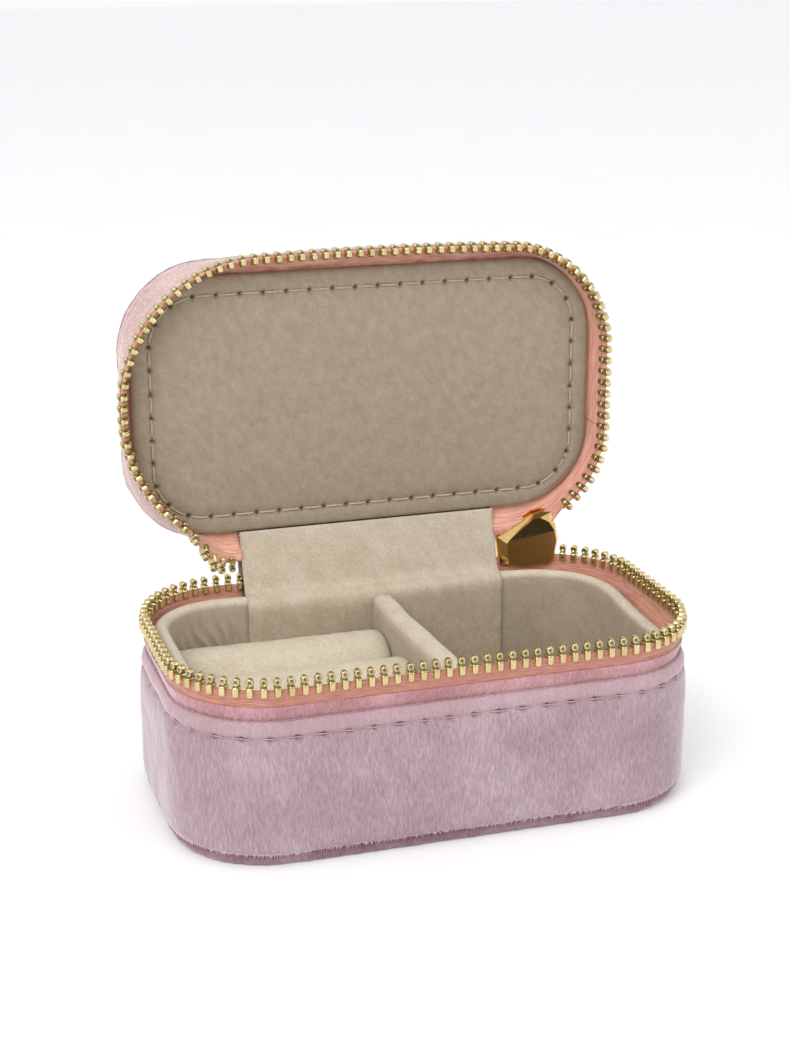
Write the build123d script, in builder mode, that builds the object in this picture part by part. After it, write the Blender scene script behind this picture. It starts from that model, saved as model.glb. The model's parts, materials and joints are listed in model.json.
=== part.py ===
from build123d import *
from math import asin, atan, atan2, degrees, sin, sqrt
import os

# A small zipped jewelry box for travel: a velvet-covered tray with a lid that is sewn to it along the back.
# Millimetres, +Z up, +X right, +Y towards the hinge. The origin is the centre of the underside.
# The box stands open: the lid is upright, a quarter turn back from closed.

# ---- Driving dimensions ----
LENGTH = 95.0  # outside, along X
WIDTH = 55.0  # outside, along Y
CORNER_R = 18.0  # corners of the outside wall, seen from above
CLOSED_HEIGHT = 49.05
BASE_HEM_Z = 26.0  # top edge of the velvet on the base
BASE_TIP_Z = 33.6  # tips of the base's zip teeth
CLOSED_GAP = 0.25  # between the two rows of teeth when the lid is shut and unzipped
TOOTH_LENGTH = 3.6
TOOTH_PITCH = 2.21
OPEN_ANGLE = 90.0  # degrees between the shut lid and the lid as modelled

# ---- Walls, as distances in from the outside wall ----
HEM_INSET = 1.2  # the velvet leans in towards its hem
HEM_HEIGHT = 6.0
VELVET = 1.0
HEM_FOLD = 2.0  # inner face of the doubled hem
TAPE = 0.6
TAPE_TOP_INSET = 0.9  # outer face of the tape where the teeth grip it
FRAME_IN = 2.7  # inner face of the board wall
TRAY_IN = 5.6  # inner face of the lined tray wall
TOOTH_INSET = 1.2  # centre line of both rows of teeth
GAP = 0.05  # between glued layers

# ---- Heights in the base ----
PANEL_TOP_Z = 2.35  # separate velvet-covered bottom panel
PANEL_INSET = 1.4
PANEL_SKIN = 0.8
WALL_Z = 2.4  # underside of the base's walls
FOLD_Z = BASE_HEM_Z - HEM_HEIGHT
TRAY_Z = 4.0
TRAY_FLOOR_Z = 5.2
LIP_Z = 28.8
LIP_R = 1.0
DIVIDER_X = 1.0
DIVIDER_THICK = 3.8
DIVIDER_Z = 28.0
DIVIDER_R = 1.2  # its rounded top edges
ROLL_R = 7.2
ROLL_PITCH = 14.6
ROLL_Z = 16.2
TRAY_CLEAR = 0.1  # between the tray's wall and the pieces glued in it
LINING_HALF = 25.0  # half the width of the lining strip over the hinge
LINING = 0.55

# ---- Heights in the lid, for the lid when shut ----
LID_TIP_Z = BASE_TIP_Z + CLOSED_GAP
LID_HEM_Z = LID_TIP_Z + BASE_TIP_Z - BASE_HEM_Z
LID_INSET = 1.9  # outside of its wall
LID_FOLD = 2.7  # inner face of its velvet
LID_TAPE_RISE = 2.6  # how far its tape reaches up behind the hem
LID_PANEL_Z = LID_TIP_Z + 5.4  # visible face of the lining panel
LID_PANEL = 1.75  # thickness
LID_PANEL_INSET = 3.4
LID_PANEL_R = 0.6  # its rounded visible edge
LID_FRAME = (3.4, 4.6)  # both faces of its board wall
LID_BOARD_Z = 46.2
LID_BOARD = 1.2
LID_BOARD_INSET = 4.45
LID_SKIN = 1.0
LID_EDGE_R = 4.8
PANEL_SEAM = (81.1, 41.6, 9.2)  # the stitched rectangle on the panel: length, width, corner radius

# ---- Teeth and stitches ----
TOOTH_HALF = 0.5  # half its thickness along the row
TOOTH_NECK = 0.38
TOOTH_DEPTH = 2.0  # across the tape
TOOTH_GRIP = 0.9  # how far the tape reaches up between the legs
TOOTH_PROFILE = [  # half width and height, from the legs over the neck to the head
    (TOOTH_HALF, 0.0),
    (TOOTH_HALF, 1.7),
    (TOOTH_NECK, 2.0),
    (TOOTH_NECK, 2.4),
    (TOOTH_HALF, 2.7),
    (TOOTH_HALF, 3.3),
    (TOOTH_NECK, TOOTH_LENGTH),
]
HEM_STITCH = (2.9, 0.25, 0.5)  # length, depth, height
HEM_STITCH_PITCH = 4.38
BASE_STITCH_Z = 23.1
BASE_STITCH_INSET = 0.4
LID_STITCH_Z = 44.3
LID_STITCH_INSET = LID_INSET - 0.2
PANEL_STITCH = (3.2, 0.45, 0.25)  # length, depth, height
PANEL_STITCH_PITCH = 4.35

# ---- Hinge: the line that the lid turns about, along X ----
HINGE_Y = 26.67
HINGE_Z = 38.63
ZIP_END_X = 26.6  # the rows of teeth stop here on the back wall
TURN_LEFT = (28.0, 44.0)  # the lid's row follows the base before the first X and the lid after the second
TURN_RIGHT = (36.9, 44.0)
TURN_STEPS = 6
TURN_DEPTH = 34.2  # both sides of the back edge, over the rear corners

# ---- Slider and pull ----
SLIDER_X = 31.7  # its middle
SLIDER_HALF = 5.0
SLIDER_BACK = 2.0  # outer face of its outer plate, from the row's centre line
SLIDER_DEPTH = 3.9  # over both plates
SLIDER_PLATE = 0.75
SLIDER_FOOT_Z = 29.3
SLIDER_FLANGE = 1.15  # from a plate's face to the slot for the tape
SLIDER_EDGE_R = 0.5
SLIDER_PROFILE = [  # its plates: along the chain, and height
    (-4.8, SLIDER_FOOT_Z),
    (3.8, SLIDER_FOOT_Z),
    (4.8, 31.6),
    (4.7, 36.0),
    (3.3, 38.1),
    (0.8, 39.3),
    (-1.1, 38.6),
    (-4.8, 36.0),
]
SLIDER_CHANNEL = [(-6, 29.92), (6, 29.92), (6, 37.2), (3.4, 37.2), (0.8, 38.6), (-6, 34.7)]
SLIDER_WEDGE = [(-1.2, 34.5), (0.4, 33.8), (4.3, 33.8), (4.3, 36.0), (2.0, 36.2)]
SLIDER_SLOT_Z = 34.3  # middle of the slot that the tapes run in
SLIDER_SLOT = 14.0  # longer and higher than the slider
BAR_BACK = 4.4  # the pull's bar, from the row's centre line
BAR_Z = 33.6
BAR_TILT = 10.0
BAR_R = 0.65
BAR_HALF = 2.9
BAR_LEG = 1.1  # width of each of the two legs that carry the bar
BAR_SINK = 0.05  # how much the legs go past the bar on each side
LOOP_R = (1.05, 1.9)
LOOP_HALF = 0.7  # half the width of the loop along the bar
TAB_THICK = 1.2
TAB_WIDTH = 6.4
TAB_LENGTH = 19.0
TAB_R = 1.6
TAB_DROP = 2.2  # from the bar to the top of the tab
TAB_NECK = (1.8, 1.6)  # width and height
TAB_NECK_DROP = 1.9  # from the bar to the middle of the neck
TAB_EYE_R = 1.2

os.makedirs("parts", exist_ok=True)
finished = []


def finish(piece, name):
    """Labels a finished piece and writes it."""
    piece.part.label = name
    export_step(piece.part, f"parts/{name}.step")
    finished.append(name)


def outline(inset, mode=Mode.ADD):
    """The box's outline from above, inset from its outside wall."""
    RectangleRounded(LENGTH - 2 * inset, WIDTH - 2 * inset, CORNER_R - inset, mode=mode)


def band(plane, outer, inner, height):
    """An upright wall round the box, between two insets."""
    with BuildSketch(plane) as ring:
        outline(outer)
        outline(inner, Mode.SUBTRACT)
    extrude(ring.sketch, amount=height)


def slab(plane, inset, height, mode=Mode.ADD):
    """A flat layer with the box's outline."""
    with BuildSketch(plane) as layer:
        outline(inset)
    extrude(layer.sketch, amount=height, mode=mode)


def flare(plane, start, end, height, mode=Mode.ADD):
    """A solid whose outline goes from one inset to another over its height."""
    with BuildSketch(plane) as foot:
        outline(start)
    lean = degrees(atan((end - start) / abs(height)))
    extrude(foot.sketch, amount=height, taper=lean, mode=mode)


def lid_place(place, share=1.0):
    """Moves a place on the shut lid to where it is on the open one; share is how much of the turn it takes."""
    hinge = Location((0, HINGE_Y, HINGE_Z))
    back = Location((0, -HINGE_Y, -HINGE_Z))
    return hinge * Location((0, 0, 0), (-OPEN_ANGLE * share, 0, 0)) * back * place


def lid_plane(z, flip=False):
    """The plane of the open lid that is level at height z when the lid is shut, facing down if flip is set."""
    turn = (180, 0, 0) if flip else (0, 0, 0)
    return Plane(lid_place(Location((0, 0, z), turn)))


def base_plane(z):
    return Plane.XY.offset(z)


def zip_row():
    """The line of the teeth: from one zip end on the back wall, round the front, to the other."""
    half_x, half_y = LENGTH / 2 - TOOTH_INSET, WIDTH / 2 - TOOTH_INSET
    with BuildLine() as row:
        FilletPolyline(
            (ZIP_END_X, half_y),
            (half_x, half_y),
            (half_x, -half_y),
            (-half_x, -half_y),
            (-half_x, half_y),
            (-ZIP_END_X, half_y),
            radius=CORNER_R - TOOTH_INSET,
        )
    return row.wire()


def seam(length, width, radius):
    """A closed line of stitches: a rectangle with round corners."""
    x, y = length / 2, width / 2
    with BuildLine() as line:
        FilletPolyline((-x, -y), (x, -y), (x, y), (-x, y), radius=radius, close=True)
    return line.wire()


def outline_seam(inset):
    return seam(LENGTH - 2 * inset, WIDTH - 2 * inset, CORNER_R - inset)


def places_along(wire, count, shift=0.5):
    """Evenly spaced level places on a line at height 0, each with its X along the line."""
    places = []
    for i in range(count):
        at = (i + shift) / count
        point, heading = wire.position_at(at), wire.tangent_at(at)
        places.append(Location(tuple(point), (0, 0, degrees(atan2(heading.Y, heading.X)))))
    return places


def raised(place, z, over=0):
    """The same place at height z, turned over about its X by that many degrees."""
    return Location((0, 0, z)) * place * Location((0, 0, 0), (over, 0, 0))


def lid_share(x, y):
    """How much of the lid's turn its row of teeth takes at x: less than 1 near the hinge, where the row
    stays beside the base's."""
    if y < 0:
        return 1.0
    start, end = TURN_RIGHT if x > 0 else TURN_LEFT
    t = min(max((abs(x) - start) / (end - start), 0.0), 1.0)
    return t * t * (3 - 2 * t)


# ---------------------------------------------------------------- base: bottom panel and walls
with BuildPart() as base_bottom_cover:
    slab(base_plane(0), PANEL_INSET, PANEL_TOP_Z)
    slab(base_plane(PANEL_SKIN), PANEL_INSET + PANEL_SKIN, PANEL_TOP_Z, Mode.SUBTRACT)
finish(base_bottom_cover, "base_bottom_cover")

with BuildPart() as base_bottom_board:
    slab(base_plane(PANEL_SKIN), PANEL_INSET + PANEL_SKIN + GAP, PANEL_TOP_Z - PANEL_SKIN)
finish(base_bottom_board, "base_bottom_board")

with BuildPart() as base_frame:
    band(base_plane(WALL_Z), VELVET + GAP, FRAME_IN - GAP, FOLD_Z - GAP - WALL_Z)
finish(base_frame, "base_frame")

with BuildPart() as base_floor_board:
    slab(base_plane(WALL_Z), FRAME_IN, TRAY_Z - GAP - WALL_Z)
finish(base_floor_board, "base_floor_board")

# The velvet is double where it folds over at the hem, and leans in there.
with BuildPart() as base_velvet_cover:
    slab(base_plane(WALL_Z), 0, FOLD_Z - WALL_Z)
    flare(base_plane(FOLD_Z), 0, HEM_INSET, HEM_HEIGHT)
    slab(base_plane(WALL_Z), VELVET, FOLD_Z - WALL_Z, Mode.SUBTRACT)
    slab(base_plane(FOLD_Z), HEM_FOLD, HEM_HEIGHT, Mode.SUBTRACT)
finish(base_velvet_cover, "base_velvet_cover")

# ---------------------------------------------------------------- base: tray, divider and ring rolls
with BuildPart() as tray_wall:
    band(base_plane(TRAY_Z), FRAME_IN, TRAY_IN, LIP_Z - TRAY_Z)
    fillet(tray_wall.edges().group_by(Axis.Z)[-1], radius=LIP_R)
finish(tray_wall, "tray_wall")

with BuildPart() as tray_floor:
    slab(base_plane(TRAY_Z), TRAY_IN + GAP, TRAY_FLOOR_Z - TRAY_Z)
finish(tray_floor, "tray_floor")

tray_half_y = WIDTH / 2 - TRAY_IN
lining_y = tray_half_y - GAP - LINING  # front face of the lining strip on the back wall
divider_left = DIVIDER_X - DIVIDER_THICK / 2
back_y = lining_y - GAP
front_y = -tray_half_y + GAP
with BuildPart() as tray_divider:
    with BuildSketch(base_plane(TRAY_FLOOR_Z)):
        with Locations((DIVIDER_X, (back_y + front_y) / 2)):
            Rectangle(DIVIDER_THICK, back_y - front_y)
    extrude(amount=DIVIDER_Z - TRAY_FLOOR_Z)
    fillet(tray_divider.edges().group_by(Axis.Z)[-1].filter_by(Axis.Y), radius=DIVIDER_R)
finish(tray_divider, "tray_divider")

# The rolls' side of the tray: inside the walls, in front of the lining strip and left of the divider.
with BuildPart() as roll_space:
    slab(base_plane(TRAY_FLOOR_Z), TRAY_IN + TRAY_CLEAR, LIP_Z - TRAY_FLOOR_Z)
    split(bisect_by=Plane.YZ.offset(divider_left - GAP), keep=Keep.BOTTOM)
    split(bisect_by=Plane((0, back_y, 0), z_dir=(0, 1, 0)), keep=Keep.BOTTOM)

with BuildPart() as ring_roll_platform:
    add(roll_space.part)
    split(bisect_by=base_plane(ROLL_Z - ROLL_R), keep=Keep.BOTTOM)
finish(ring_roll_platform, "ring_roll_platform")

for roll_name, row in (("front", -1), ("middle", 0), ("rear", 1)):
    with BuildPart() as ring_roll:
        with BuildSketch(Plane.YZ.offset(divider_left - GAP)):
            with Locations((row * ROLL_PITCH, ROLL_Z)):
                Circle(ROLL_R)
        extrude(amount=-LENGTH / 2)
        add(roll_space.part, mode=Mode.INTERSECT)
    finish(ring_roll, f"ring_roll_{roll_name}")

# ---------------------------------------------------------------- base: lining strip and outer hinge
with BuildPart() as hinge_lining:
    with BuildSketch(Plane.YZ):
        with BuildLine():
            Polyline(
                (lining_y, TRAY_FLOOR_Z + GAP),
                (lining_y + LINING, TRAY_FLOOR_Z + GAP),
                (lining_y + LINING, LIP_Z + GAP),
                (WIDTH / 2 - FRAME_IN - GAP, LIP_Z + GAP),
                (WIDTH / 2 - FRAME_IN - GAP, LIP_Z + GAP + LINING),
                (lining_y, LIP_Z + GAP + LINING),
                close=True,
            )
        make_face()
    extrude(amount=LINING_HALF, both=True)
finish(hinge_lining, "hinge_lining")

# Where the strip leaves the tray it crosses to the lid's panel, taut while the lid stands open.
flap_foot = (WIDTH / 2 - FRAME_IN - GAP - LINING, LIP_Z + LINING + 2 * GAP)
panel_face_y = lid_plane(LID_PANEL_Z).origin.Y
panel_foot_z = HINGE_Z + HINGE_Y - (WIDTH / 2 - LID_PANEL_INSET)
with BuildPart() as hinge_lining_flap:
    with BuildSketch(Plane.YZ):
        with BuildLine():
            Polyline(
                flap_foot,
                (flap_foot[0] + LINING, flap_foot[1]),
                (panel_face_y + LINING, panel_foot_z - GAP),
                (panel_face_y, panel_foot_z - GAP),
                close=True,
            )
        make_face()
    extrude(amount=LINING_HALF, both=True)
finish(hinge_lining_flap, "hinge_lining_flap")

lid_hem_y = lid_plane(LID_HEM_Z).origin.Y
hem_outer_z = HINGE_Z + HINGE_Y - (WIDTH / 2 - LID_INSET)
with BuildPart() as hinge_velvet:
    with BuildSketch(Plane.YZ):
        with BuildLine():
            Polyline(
                (WIDTH / 2 - HEM_FOLD, BASE_HEM_Z + GAP),
                (WIDTH / 2 - HEM_INSET, BASE_HEM_Z + GAP),
                (lid_hem_y - GAP, hem_outer_z),
                (lid_hem_y - GAP, hem_outer_z + LID_FOLD - LID_INSET),
                close=True,
            )
        make_face()
    extrude(amount=ZIP_END_X - 2 * GAP, both=True)
finish(hinge_velvet, "hinge_velvet")

# ---------------------------------------------------------------- zip: tapes
BASE_ROOT_Z = BASE_TIP_Z - TOOTH_LENGTH
LID_ROOT_Z = LID_TIP_Z + TOOTH_LENGTH


def flared_tape(plane, fold, rise):
    """The tape from a hem to the teeth: it leans outwards, then stands upright between the teeth's legs."""
    flare(plane, fold, TAPE_TOP_INSET, rise)
    flare(plane, fold + TAPE, TAPE_TOP_INSET + TAPE, rise, Mode.SUBTRACT)
    band(plane.offset(rise), TAPE_TOP_INSET, TAPE_TOP_INSET + TAPE, TOOTH_GRIP)


with BuildPart() as base_zip_tape:
    band(base_plane(FOLD_Z), HEM_FOLD, HEM_FOLD + TAPE, HEM_HEIGHT)
    flared_tape(base_plane(BASE_HEM_Z), HEM_FOLD, BASE_ROOT_Z - BASE_HEM_Z)
    # It stops at both zip ends, and drops out of sight into the slider.
    with BuildSketch(base_plane(BASE_HEM_Z)):
        with Locations((0, WIDTH / 2)):
            Rectangle(2 * ZIP_END_X, CORNER_R)
    extrude(amount=2 * TOOTH_LENGTH, mode=Mode.SUBTRACT)
    with BuildSketch(base_plane(SLIDER_FOOT_Z - GAP)):
        with Locations((SLIDER_X, WIDTH / 2)):
            Rectangle(2 * SLIDER_HALF + 4 * GAP, CORNER_R)
    extrude(amount=TOOTH_LENGTH, mode=Mode.SUBTRACT)
finish(base_zip_tape, "base_zip_tape")

with BuildPart() as lid_zip_tape:
    band(lid_plane(LID_HEM_Z), LID_FOLD, LID_FOLD + TAPE, LID_TAPE_RISE)
    down = lid_plane(LID_HEM_Z, flip=True)
    flared_tape(down, LID_FOLD, LID_HEM_Z - LID_ROOT_Z)
    with BuildSketch(down):
        with Locations((0, -WIDTH / 2)):
            Rectangle(2 * TURN_LEFT[1], TURN_DEPTH)
    extrude(amount=2 * TOOTH_LENGTH, mode=Mode.SUBTRACT)
finish(lid_zip_tape, "lid_zip_tape")


def row_y(x, inset):
    """Where the outline at an inset lies at x on the back half of the box."""
    past = max(abs(x) - (LENGTH / 2 - CORNER_R), 0.0)
    return WIDTH / 2 - CORNER_R + sqrt((CORNER_R - inset) ** 2 - past**2)


def turned_section(x):
    """The corners (Y, Z) of the lid's tape at x near the hinge. Its hem edge is on the lid, and the edge
    with the teeth takes only a share of the lid's turn."""
    corners = []
    for inset, z, share in (
        (LID_FOLD, LID_PANEL_Z + LID_PANEL, 1.0),
        (LID_FOLD + TAPE, LID_PANEL_Z + LID_PANEL, 1.0),
        (TAPE_TOP_INSET + TAPE, LID_ROOT_Z + GAP, lid_share(x, 1)),
        (TAPE_TOP_INSET, LID_ROOT_Z + GAP, lid_share(x, 1)),
    ):
        spot = lid_place(Location((x, row_y(x, inset), z)), share).position
        corners.append((spot.Y, spot.Z))
    return corners


def turn_stations(start, end):
    """The X of each section of a turned tape, evenly spaced round the corner."""
    corner_x, radius = LENGTH / 2 - CORNER_R, CORNER_R - TOOTH_INSET
    first, last = (asin(max(x - corner_x, 0) / radius) for x in (start, end))
    steps = [corner_x + radius * sin(first + (last - first) * i / TURN_STEPS) for i in range(TURN_STEPS + 1)]
    return [start] + steps if start < corner_x else steps


for side, sign, start, end in (
    ("left", -1, ZIP_END_X + 4 * GAP, TURN_LEFT[1] - 2 * GAP),
    ("right", 1, TURN_RIGHT[0], TURN_RIGHT[1] - 2 * GAP),
):
    with BuildPart() as turn_tape:
        for station in turn_stations(start, end):
            x = sign * station
            with BuildSketch(Plane.YZ.offset(x)):
                with BuildLine():
                    Polyline(*turned_section(x), close=True)
                make_face()
        loft(ruled=True)
    finish(turn_tape, f"zip_turn_tape_{side}")

# ---------------------------------------------------------------- zip: teeth
# A tooth stands on its legs, which grip the tape; its head is a little wider than its neck.
with BuildPart() as tooth:
    with BuildSketch(Plane.XZ):
        with BuildLine():
            Polyline(*TOOTH_PROFILE, *[(-x, z) for x, z in reversed(TOOTH_PROFILE)], close=True)
        make_face()
    extrude(amount=TOOTH_DEPTH / 2, both=True)
    with BuildSketch(Plane.XY):
        Rectangle(3 * TOOTH_HALF, TAPE + 2 * GAP)
    extrude(amount=TOOTH_GRIP + GAP, mode=Mode.SUBTRACT)

row_wire = zip_row()
tooth_count = round(row_wire.length / TOOTH_PITCH)


def in_slider(place):
    """Whether the slider hides the tooth at this level place."""
    x, y = place.position.X, place.position.Y
    return y > 0 and abs(x - SLIDER_X) < SLIDER_HALF + TOOTH_HALF


base_teeth = [raised(p, BASE_ROOT_Z) for p in places_along(row_wire, tooth_count) if not in_slider(p)]
with BuildPart() as base_zip_teeth:
    with Locations(*base_teeth):
        add(tooth.part)
finish(base_zip_teeth, "base_zip_teeth")

# The lid's row has one tooth fewer, each above a gap of the base's row.
lid_rows = {"lid_zip_teeth": [], "zip_turn_teeth_left": [], "zip_turn_teeth_right": []}
for place in places_along(row_wire, tooth_count, shift=1.0)[:-1]:
    if in_slider(place):
        continue
    x, y = place.position.X, place.position.Y
    share = lid_share(x, y)
    if share == 1.0:
        row_name = "lid_zip_teeth"
    elif x < 0:
        row_name = "zip_turn_teeth_left"
    else:
        row_name = "zip_turn_teeth_right"
    lid_rows[row_name].append(lid_place(raised(place, LID_ROOT_Z, over=180), share))
for row_name, places in lid_rows.items():
    with BuildPart() as teeth:
        with Locations(*places):
            add(tooth.part)
    finish(teeth, row_name)

# ---------------------------------------------------------------- zip: slider, parked at the hinge end
# Its own frame: X along the chain towards the mouth, Y out of the box from the row's centre line.
slider_yaw = -degrees(asin((SLIDER_X - LENGTH / 2 + CORNER_R) / (CORNER_R - TOOTH_INSET)))
slider_place = Location((SLIDER_X, row_y(SLIDER_X, TOOTH_INSET), 0), (0, 0, slider_yaw))
UPRIGHT = (90, 0, 0)  # turns a level plane to face the front of the box


def slider_plane(y):
    return Plane(slider_place * Location((0, y, 0), UPRIGHT))


slider_face = slider_plane(SLIDER_BACK)
inside = SLIDER_DEPTH - 2 * SLIDER_PLATE
with BuildPart() as zip_slider_body:
    with BuildSketch(slider_face):
        with BuildLine():
            Polyline(*SLIDER_PROFILE, close=True)
        make_face()
    extrude(amount=SLIDER_DEPTH)
    fillet(zip_slider_body.edges().filter_by(Axis((0, 0, 0), slider_face.z_dir)), radius=SLIDER_EDGE_R)
    # The channel for the teeth, open at the narrow tail and at the mouth.
    with BuildSketch(slider_face.offset(SLIDER_PLATE)):
        with BuildLine():
            Polyline(*SLIDER_CHANNEL, close=True)
        make_face()
    extrude(amount=inside, mode=Mode.SUBTRACT)
    # The slot for the tapes, between the two plates' flanges.
    with BuildSketch(slider_face.offset(SLIDER_FLANGE)):
        with Locations((0, SLIDER_SLOT_Z)):
            Rectangle(SLIDER_SLOT, SLIDER_SLOT)
    extrude(amount=SLIDER_DEPTH - 2 * SLIDER_FLANGE, mode=Mode.SUBTRACT)
    # The wedge that parts the two rows.
    with BuildSketch(slider_face.offset(SLIDER_PLATE)):
        with BuildLine():
            Polyline(*SLIDER_WEDGE, close=True)
        make_face()
    extrude(amount=inside)
finish(zip_slider_body, "zip_slider_body")

bar_face = Plane(slider_place * Location((0, BAR_BACK, BAR_Z), (0, -BAR_TILT, 0)) * Location((0, 0, 0), UPRIGHT))
bar_end = Plane(bar_face.origin, x_dir=bar_face.z_dir, z_dir=bar_face.x_dir)
bar_to_slider = BAR_BACK - SLIDER_BACK
with BuildPart() as zip_slider_bridge:
    with BuildSketch(bar_end):
        Circle(BAR_R)
    extrude(amount=BAR_HALF, both=True)
    with BuildSketch(bar_face.offset(bar_to_slider)):
        with Locations((-BAR_HALF, 0), (BAR_HALF, 0)):
            Rectangle(BAR_LEG, 2 * (BAR_R + BAR_SINK))
    extrude(amount=-(bar_to_slider + BAR_R + BAR_SINK))
finish(zip_slider_bridge, "zip_slider_bridge")

# The pull is cast in one piece: a loop round the bar, a neck and a flat tab with a small eye.
with BuildPart() as pull_tab:
    with BuildSketch(bar_face):
        with Locations((0, -TAB_DROP - TAB_LENGTH / 2)):
            RectangleRounded(TAB_WIDTH, TAB_LENGTH, TAB_R)
        with Locations((0, -TAB_NECK_DROP)):
            Rectangle(*TAB_NECK)
        with Locations((0, -TAB_LENGTH)):
            Circle(TAB_EYE_R, mode=Mode.SUBTRACT)
    extrude(amount=TAB_THICK / 2, both=True)
    with BuildSketch(bar_end):
        Circle(LOOP_R[1])
    extrude(amount=LOOP_HALF, both=True)
    with BuildSketch(bar_end):
        Circle(LOOP_R[0])
    extrude(amount=2 * LOOP_HALF, both=True, mode=Mode.SUBTRACT)
finish(pull_tab, "pull_tab")

# ---------------------------------------------------------------- lid
lid_height = CLOSED_HEIGHT - LID_HEM_Z
with BuildPart() as lid_cavity:
    slab(lid_plane(LID_HEM_Z), LID_FOLD, lid_height - LID_SKIN)
    fillet(lid_cavity.edges().group_by(Axis.Y)[-1], radius=LID_EDGE_R - LID_SKIN)

with BuildPart() as lid_velvet_cover:
    slab(lid_plane(LID_HEM_Z), LID_INSET, lid_height)
    fillet(lid_velvet_cover.edges().group_by(Axis.Y)[-1], radius=LID_EDGE_R)
    add(lid_cavity.part, mode=Mode.SUBTRACT)
finish(lid_velvet_cover, "lid_velvet_cover")

lid_wall_z = LID_PANEL_Z + LID_PANEL + GAP
with BuildPart() as lid_frame:
    band(lid_plane(lid_wall_z), *LID_FRAME, LID_BOARD_Z - GAP - lid_wall_z)
finish(lid_frame, "lid_frame")

with BuildPart() as lid_core_foam:
    slab(lid_plane(lid_wall_z), LID_FRAME[1] + GAP, LID_BOARD_Z - GAP - lid_wall_z)
finish(lid_core_foam, "lid_core_foam")

with BuildPart() as lid_top_board:
    slab(lid_plane(LID_BOARD_Z), LID_BOARD_INSET, LID_BOARD)
finish(lid_top_board, "lid_top_board")

# The padding fills the rounded edge of the velvet above the board.
with BuildPart() as lid_top_padding:
    foam_z = LID_BOARD_Z + LID_BOARD + GAP
    pad_height = CLOSED_HEIGHT - LID_SKIN - GAP - LID_HEM_Z
    slab(lid_plane(LID_HEM_Z), LID_FOLD + GAP, pad_height)
    fillet(lid_top_padding.edges().group_by(Axis.Y)[-1], radius=LID_EDGE_R - LID_SKIN)
    split(bisect_by=lid_plane(foam_z), keep=Keep.TOP)
finish(lid_top_padding, "lid_top_padding")

with BuildPart() as lid_lining_panel:
    slab(lid_plane(LID_PANEL_Z), LID_PANEL_INSET, LID_PANEL)
    fillet(lid_lining_panel.edges().group_by(Axis.Y)[0], radius=LID_PANEL_R)
finish(lid_lining_panel, "lid_lining_panel")

# ---------------------------------------------------------------- stitches
with BuildPart() as hem_stitch:
    Box(*HEM_STITCH)
with BuildPart() as panel_stitch:
    Box(*PANEL_STITCH)

base_seam = outline_seam(BASE_STITCH_INSET)
with BuildPart() as base_hem_stitching:
    count = round(base_seam.length / HEM_STITCH_PITCH)
    with Locations(*[raised(p, BASE_STITCH_Z) for p in places_along(base_seam, count)]):
        add(hem_stitch.part)
finish(base_hem_stitching, "base_hem_stitching")

lid_seam = outline_seam(LID_STITCH_INSET)
with BuildPart() as lid_hem_stitching:
    count = round(lid_seam.length / HEM_STITCH_PITCH)
    with Locations(*[lid_place(raised(p, LID_STITCH_Z)) for p in places_along(lid_seam, count)]):
        add(hem_stitch.part)
finish(lid_hem_stitching, "lid_hem_stitching")

panel_wire = seam(*PANEL_SEAM)
stitch_z = LID_PANEL_Z - PANEL_STITCH[2] / 2 - GAP / 2
with BuildPart() as lid_panel_stitching:
    count = round(panel_wire.length / PANEL_STITCH_PITCH)
    with Locations(*[lid_place(raised(p, stitch_z)) for p in places_along(panel_wire, count)]):
        add(panel_stitch.part)
finish(lid_panel_stitching, "lid_panel_stitching")

print(len(finished), "pieces,", tooth_count, "places for teeth in the base's row")
print("pull bar at", bar_face.origin, "along", bar_face.x_dir)
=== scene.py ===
# %% [markdown]
# # A small zipped jewelry box in velvet
# The box is a velvet-covered tray with a lid that is sewn to it along the back. A metal zip runs round the
# other three sides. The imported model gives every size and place, and this notebook gives the soft parts
# their real shapes and all of them their finishes. Every length below is in millimetres until a mesh is
# made, because that is how a maker reads a box of this size.

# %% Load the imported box
import json
import random
from math import ceil, cos, hypot, pi, radians, sin, sqrt

import bmesh
import bpy
from mathutils import Matrix, Vector, noise


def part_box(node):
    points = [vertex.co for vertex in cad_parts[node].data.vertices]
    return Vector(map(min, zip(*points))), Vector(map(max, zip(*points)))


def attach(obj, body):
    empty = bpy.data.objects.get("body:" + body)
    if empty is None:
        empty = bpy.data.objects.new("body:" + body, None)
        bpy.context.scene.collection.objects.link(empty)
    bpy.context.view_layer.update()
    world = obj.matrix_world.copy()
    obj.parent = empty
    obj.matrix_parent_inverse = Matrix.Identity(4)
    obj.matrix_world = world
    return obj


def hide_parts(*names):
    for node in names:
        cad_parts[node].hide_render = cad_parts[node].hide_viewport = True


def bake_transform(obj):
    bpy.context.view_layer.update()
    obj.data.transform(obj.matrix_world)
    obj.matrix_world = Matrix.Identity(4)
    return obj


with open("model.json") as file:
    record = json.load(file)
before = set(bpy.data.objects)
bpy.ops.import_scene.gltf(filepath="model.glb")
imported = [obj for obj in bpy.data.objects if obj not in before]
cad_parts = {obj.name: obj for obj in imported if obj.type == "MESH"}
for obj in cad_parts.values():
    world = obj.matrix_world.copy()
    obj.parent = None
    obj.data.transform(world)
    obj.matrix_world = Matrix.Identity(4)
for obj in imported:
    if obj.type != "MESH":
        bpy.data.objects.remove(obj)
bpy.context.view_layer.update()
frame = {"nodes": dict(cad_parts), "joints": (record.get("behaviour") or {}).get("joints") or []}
MM = 0.001

# %% [markdown]
# ## Reading sizes from the frame
# A box like this is drawn as one outline seen from above, a rectangle with round corners, that is moved in
# or out for each layer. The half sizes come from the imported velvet. The lid stands open, a quarter turn
# back, so its parts are easiest to shape as if it were shut, and then turned about the hinge.

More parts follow.
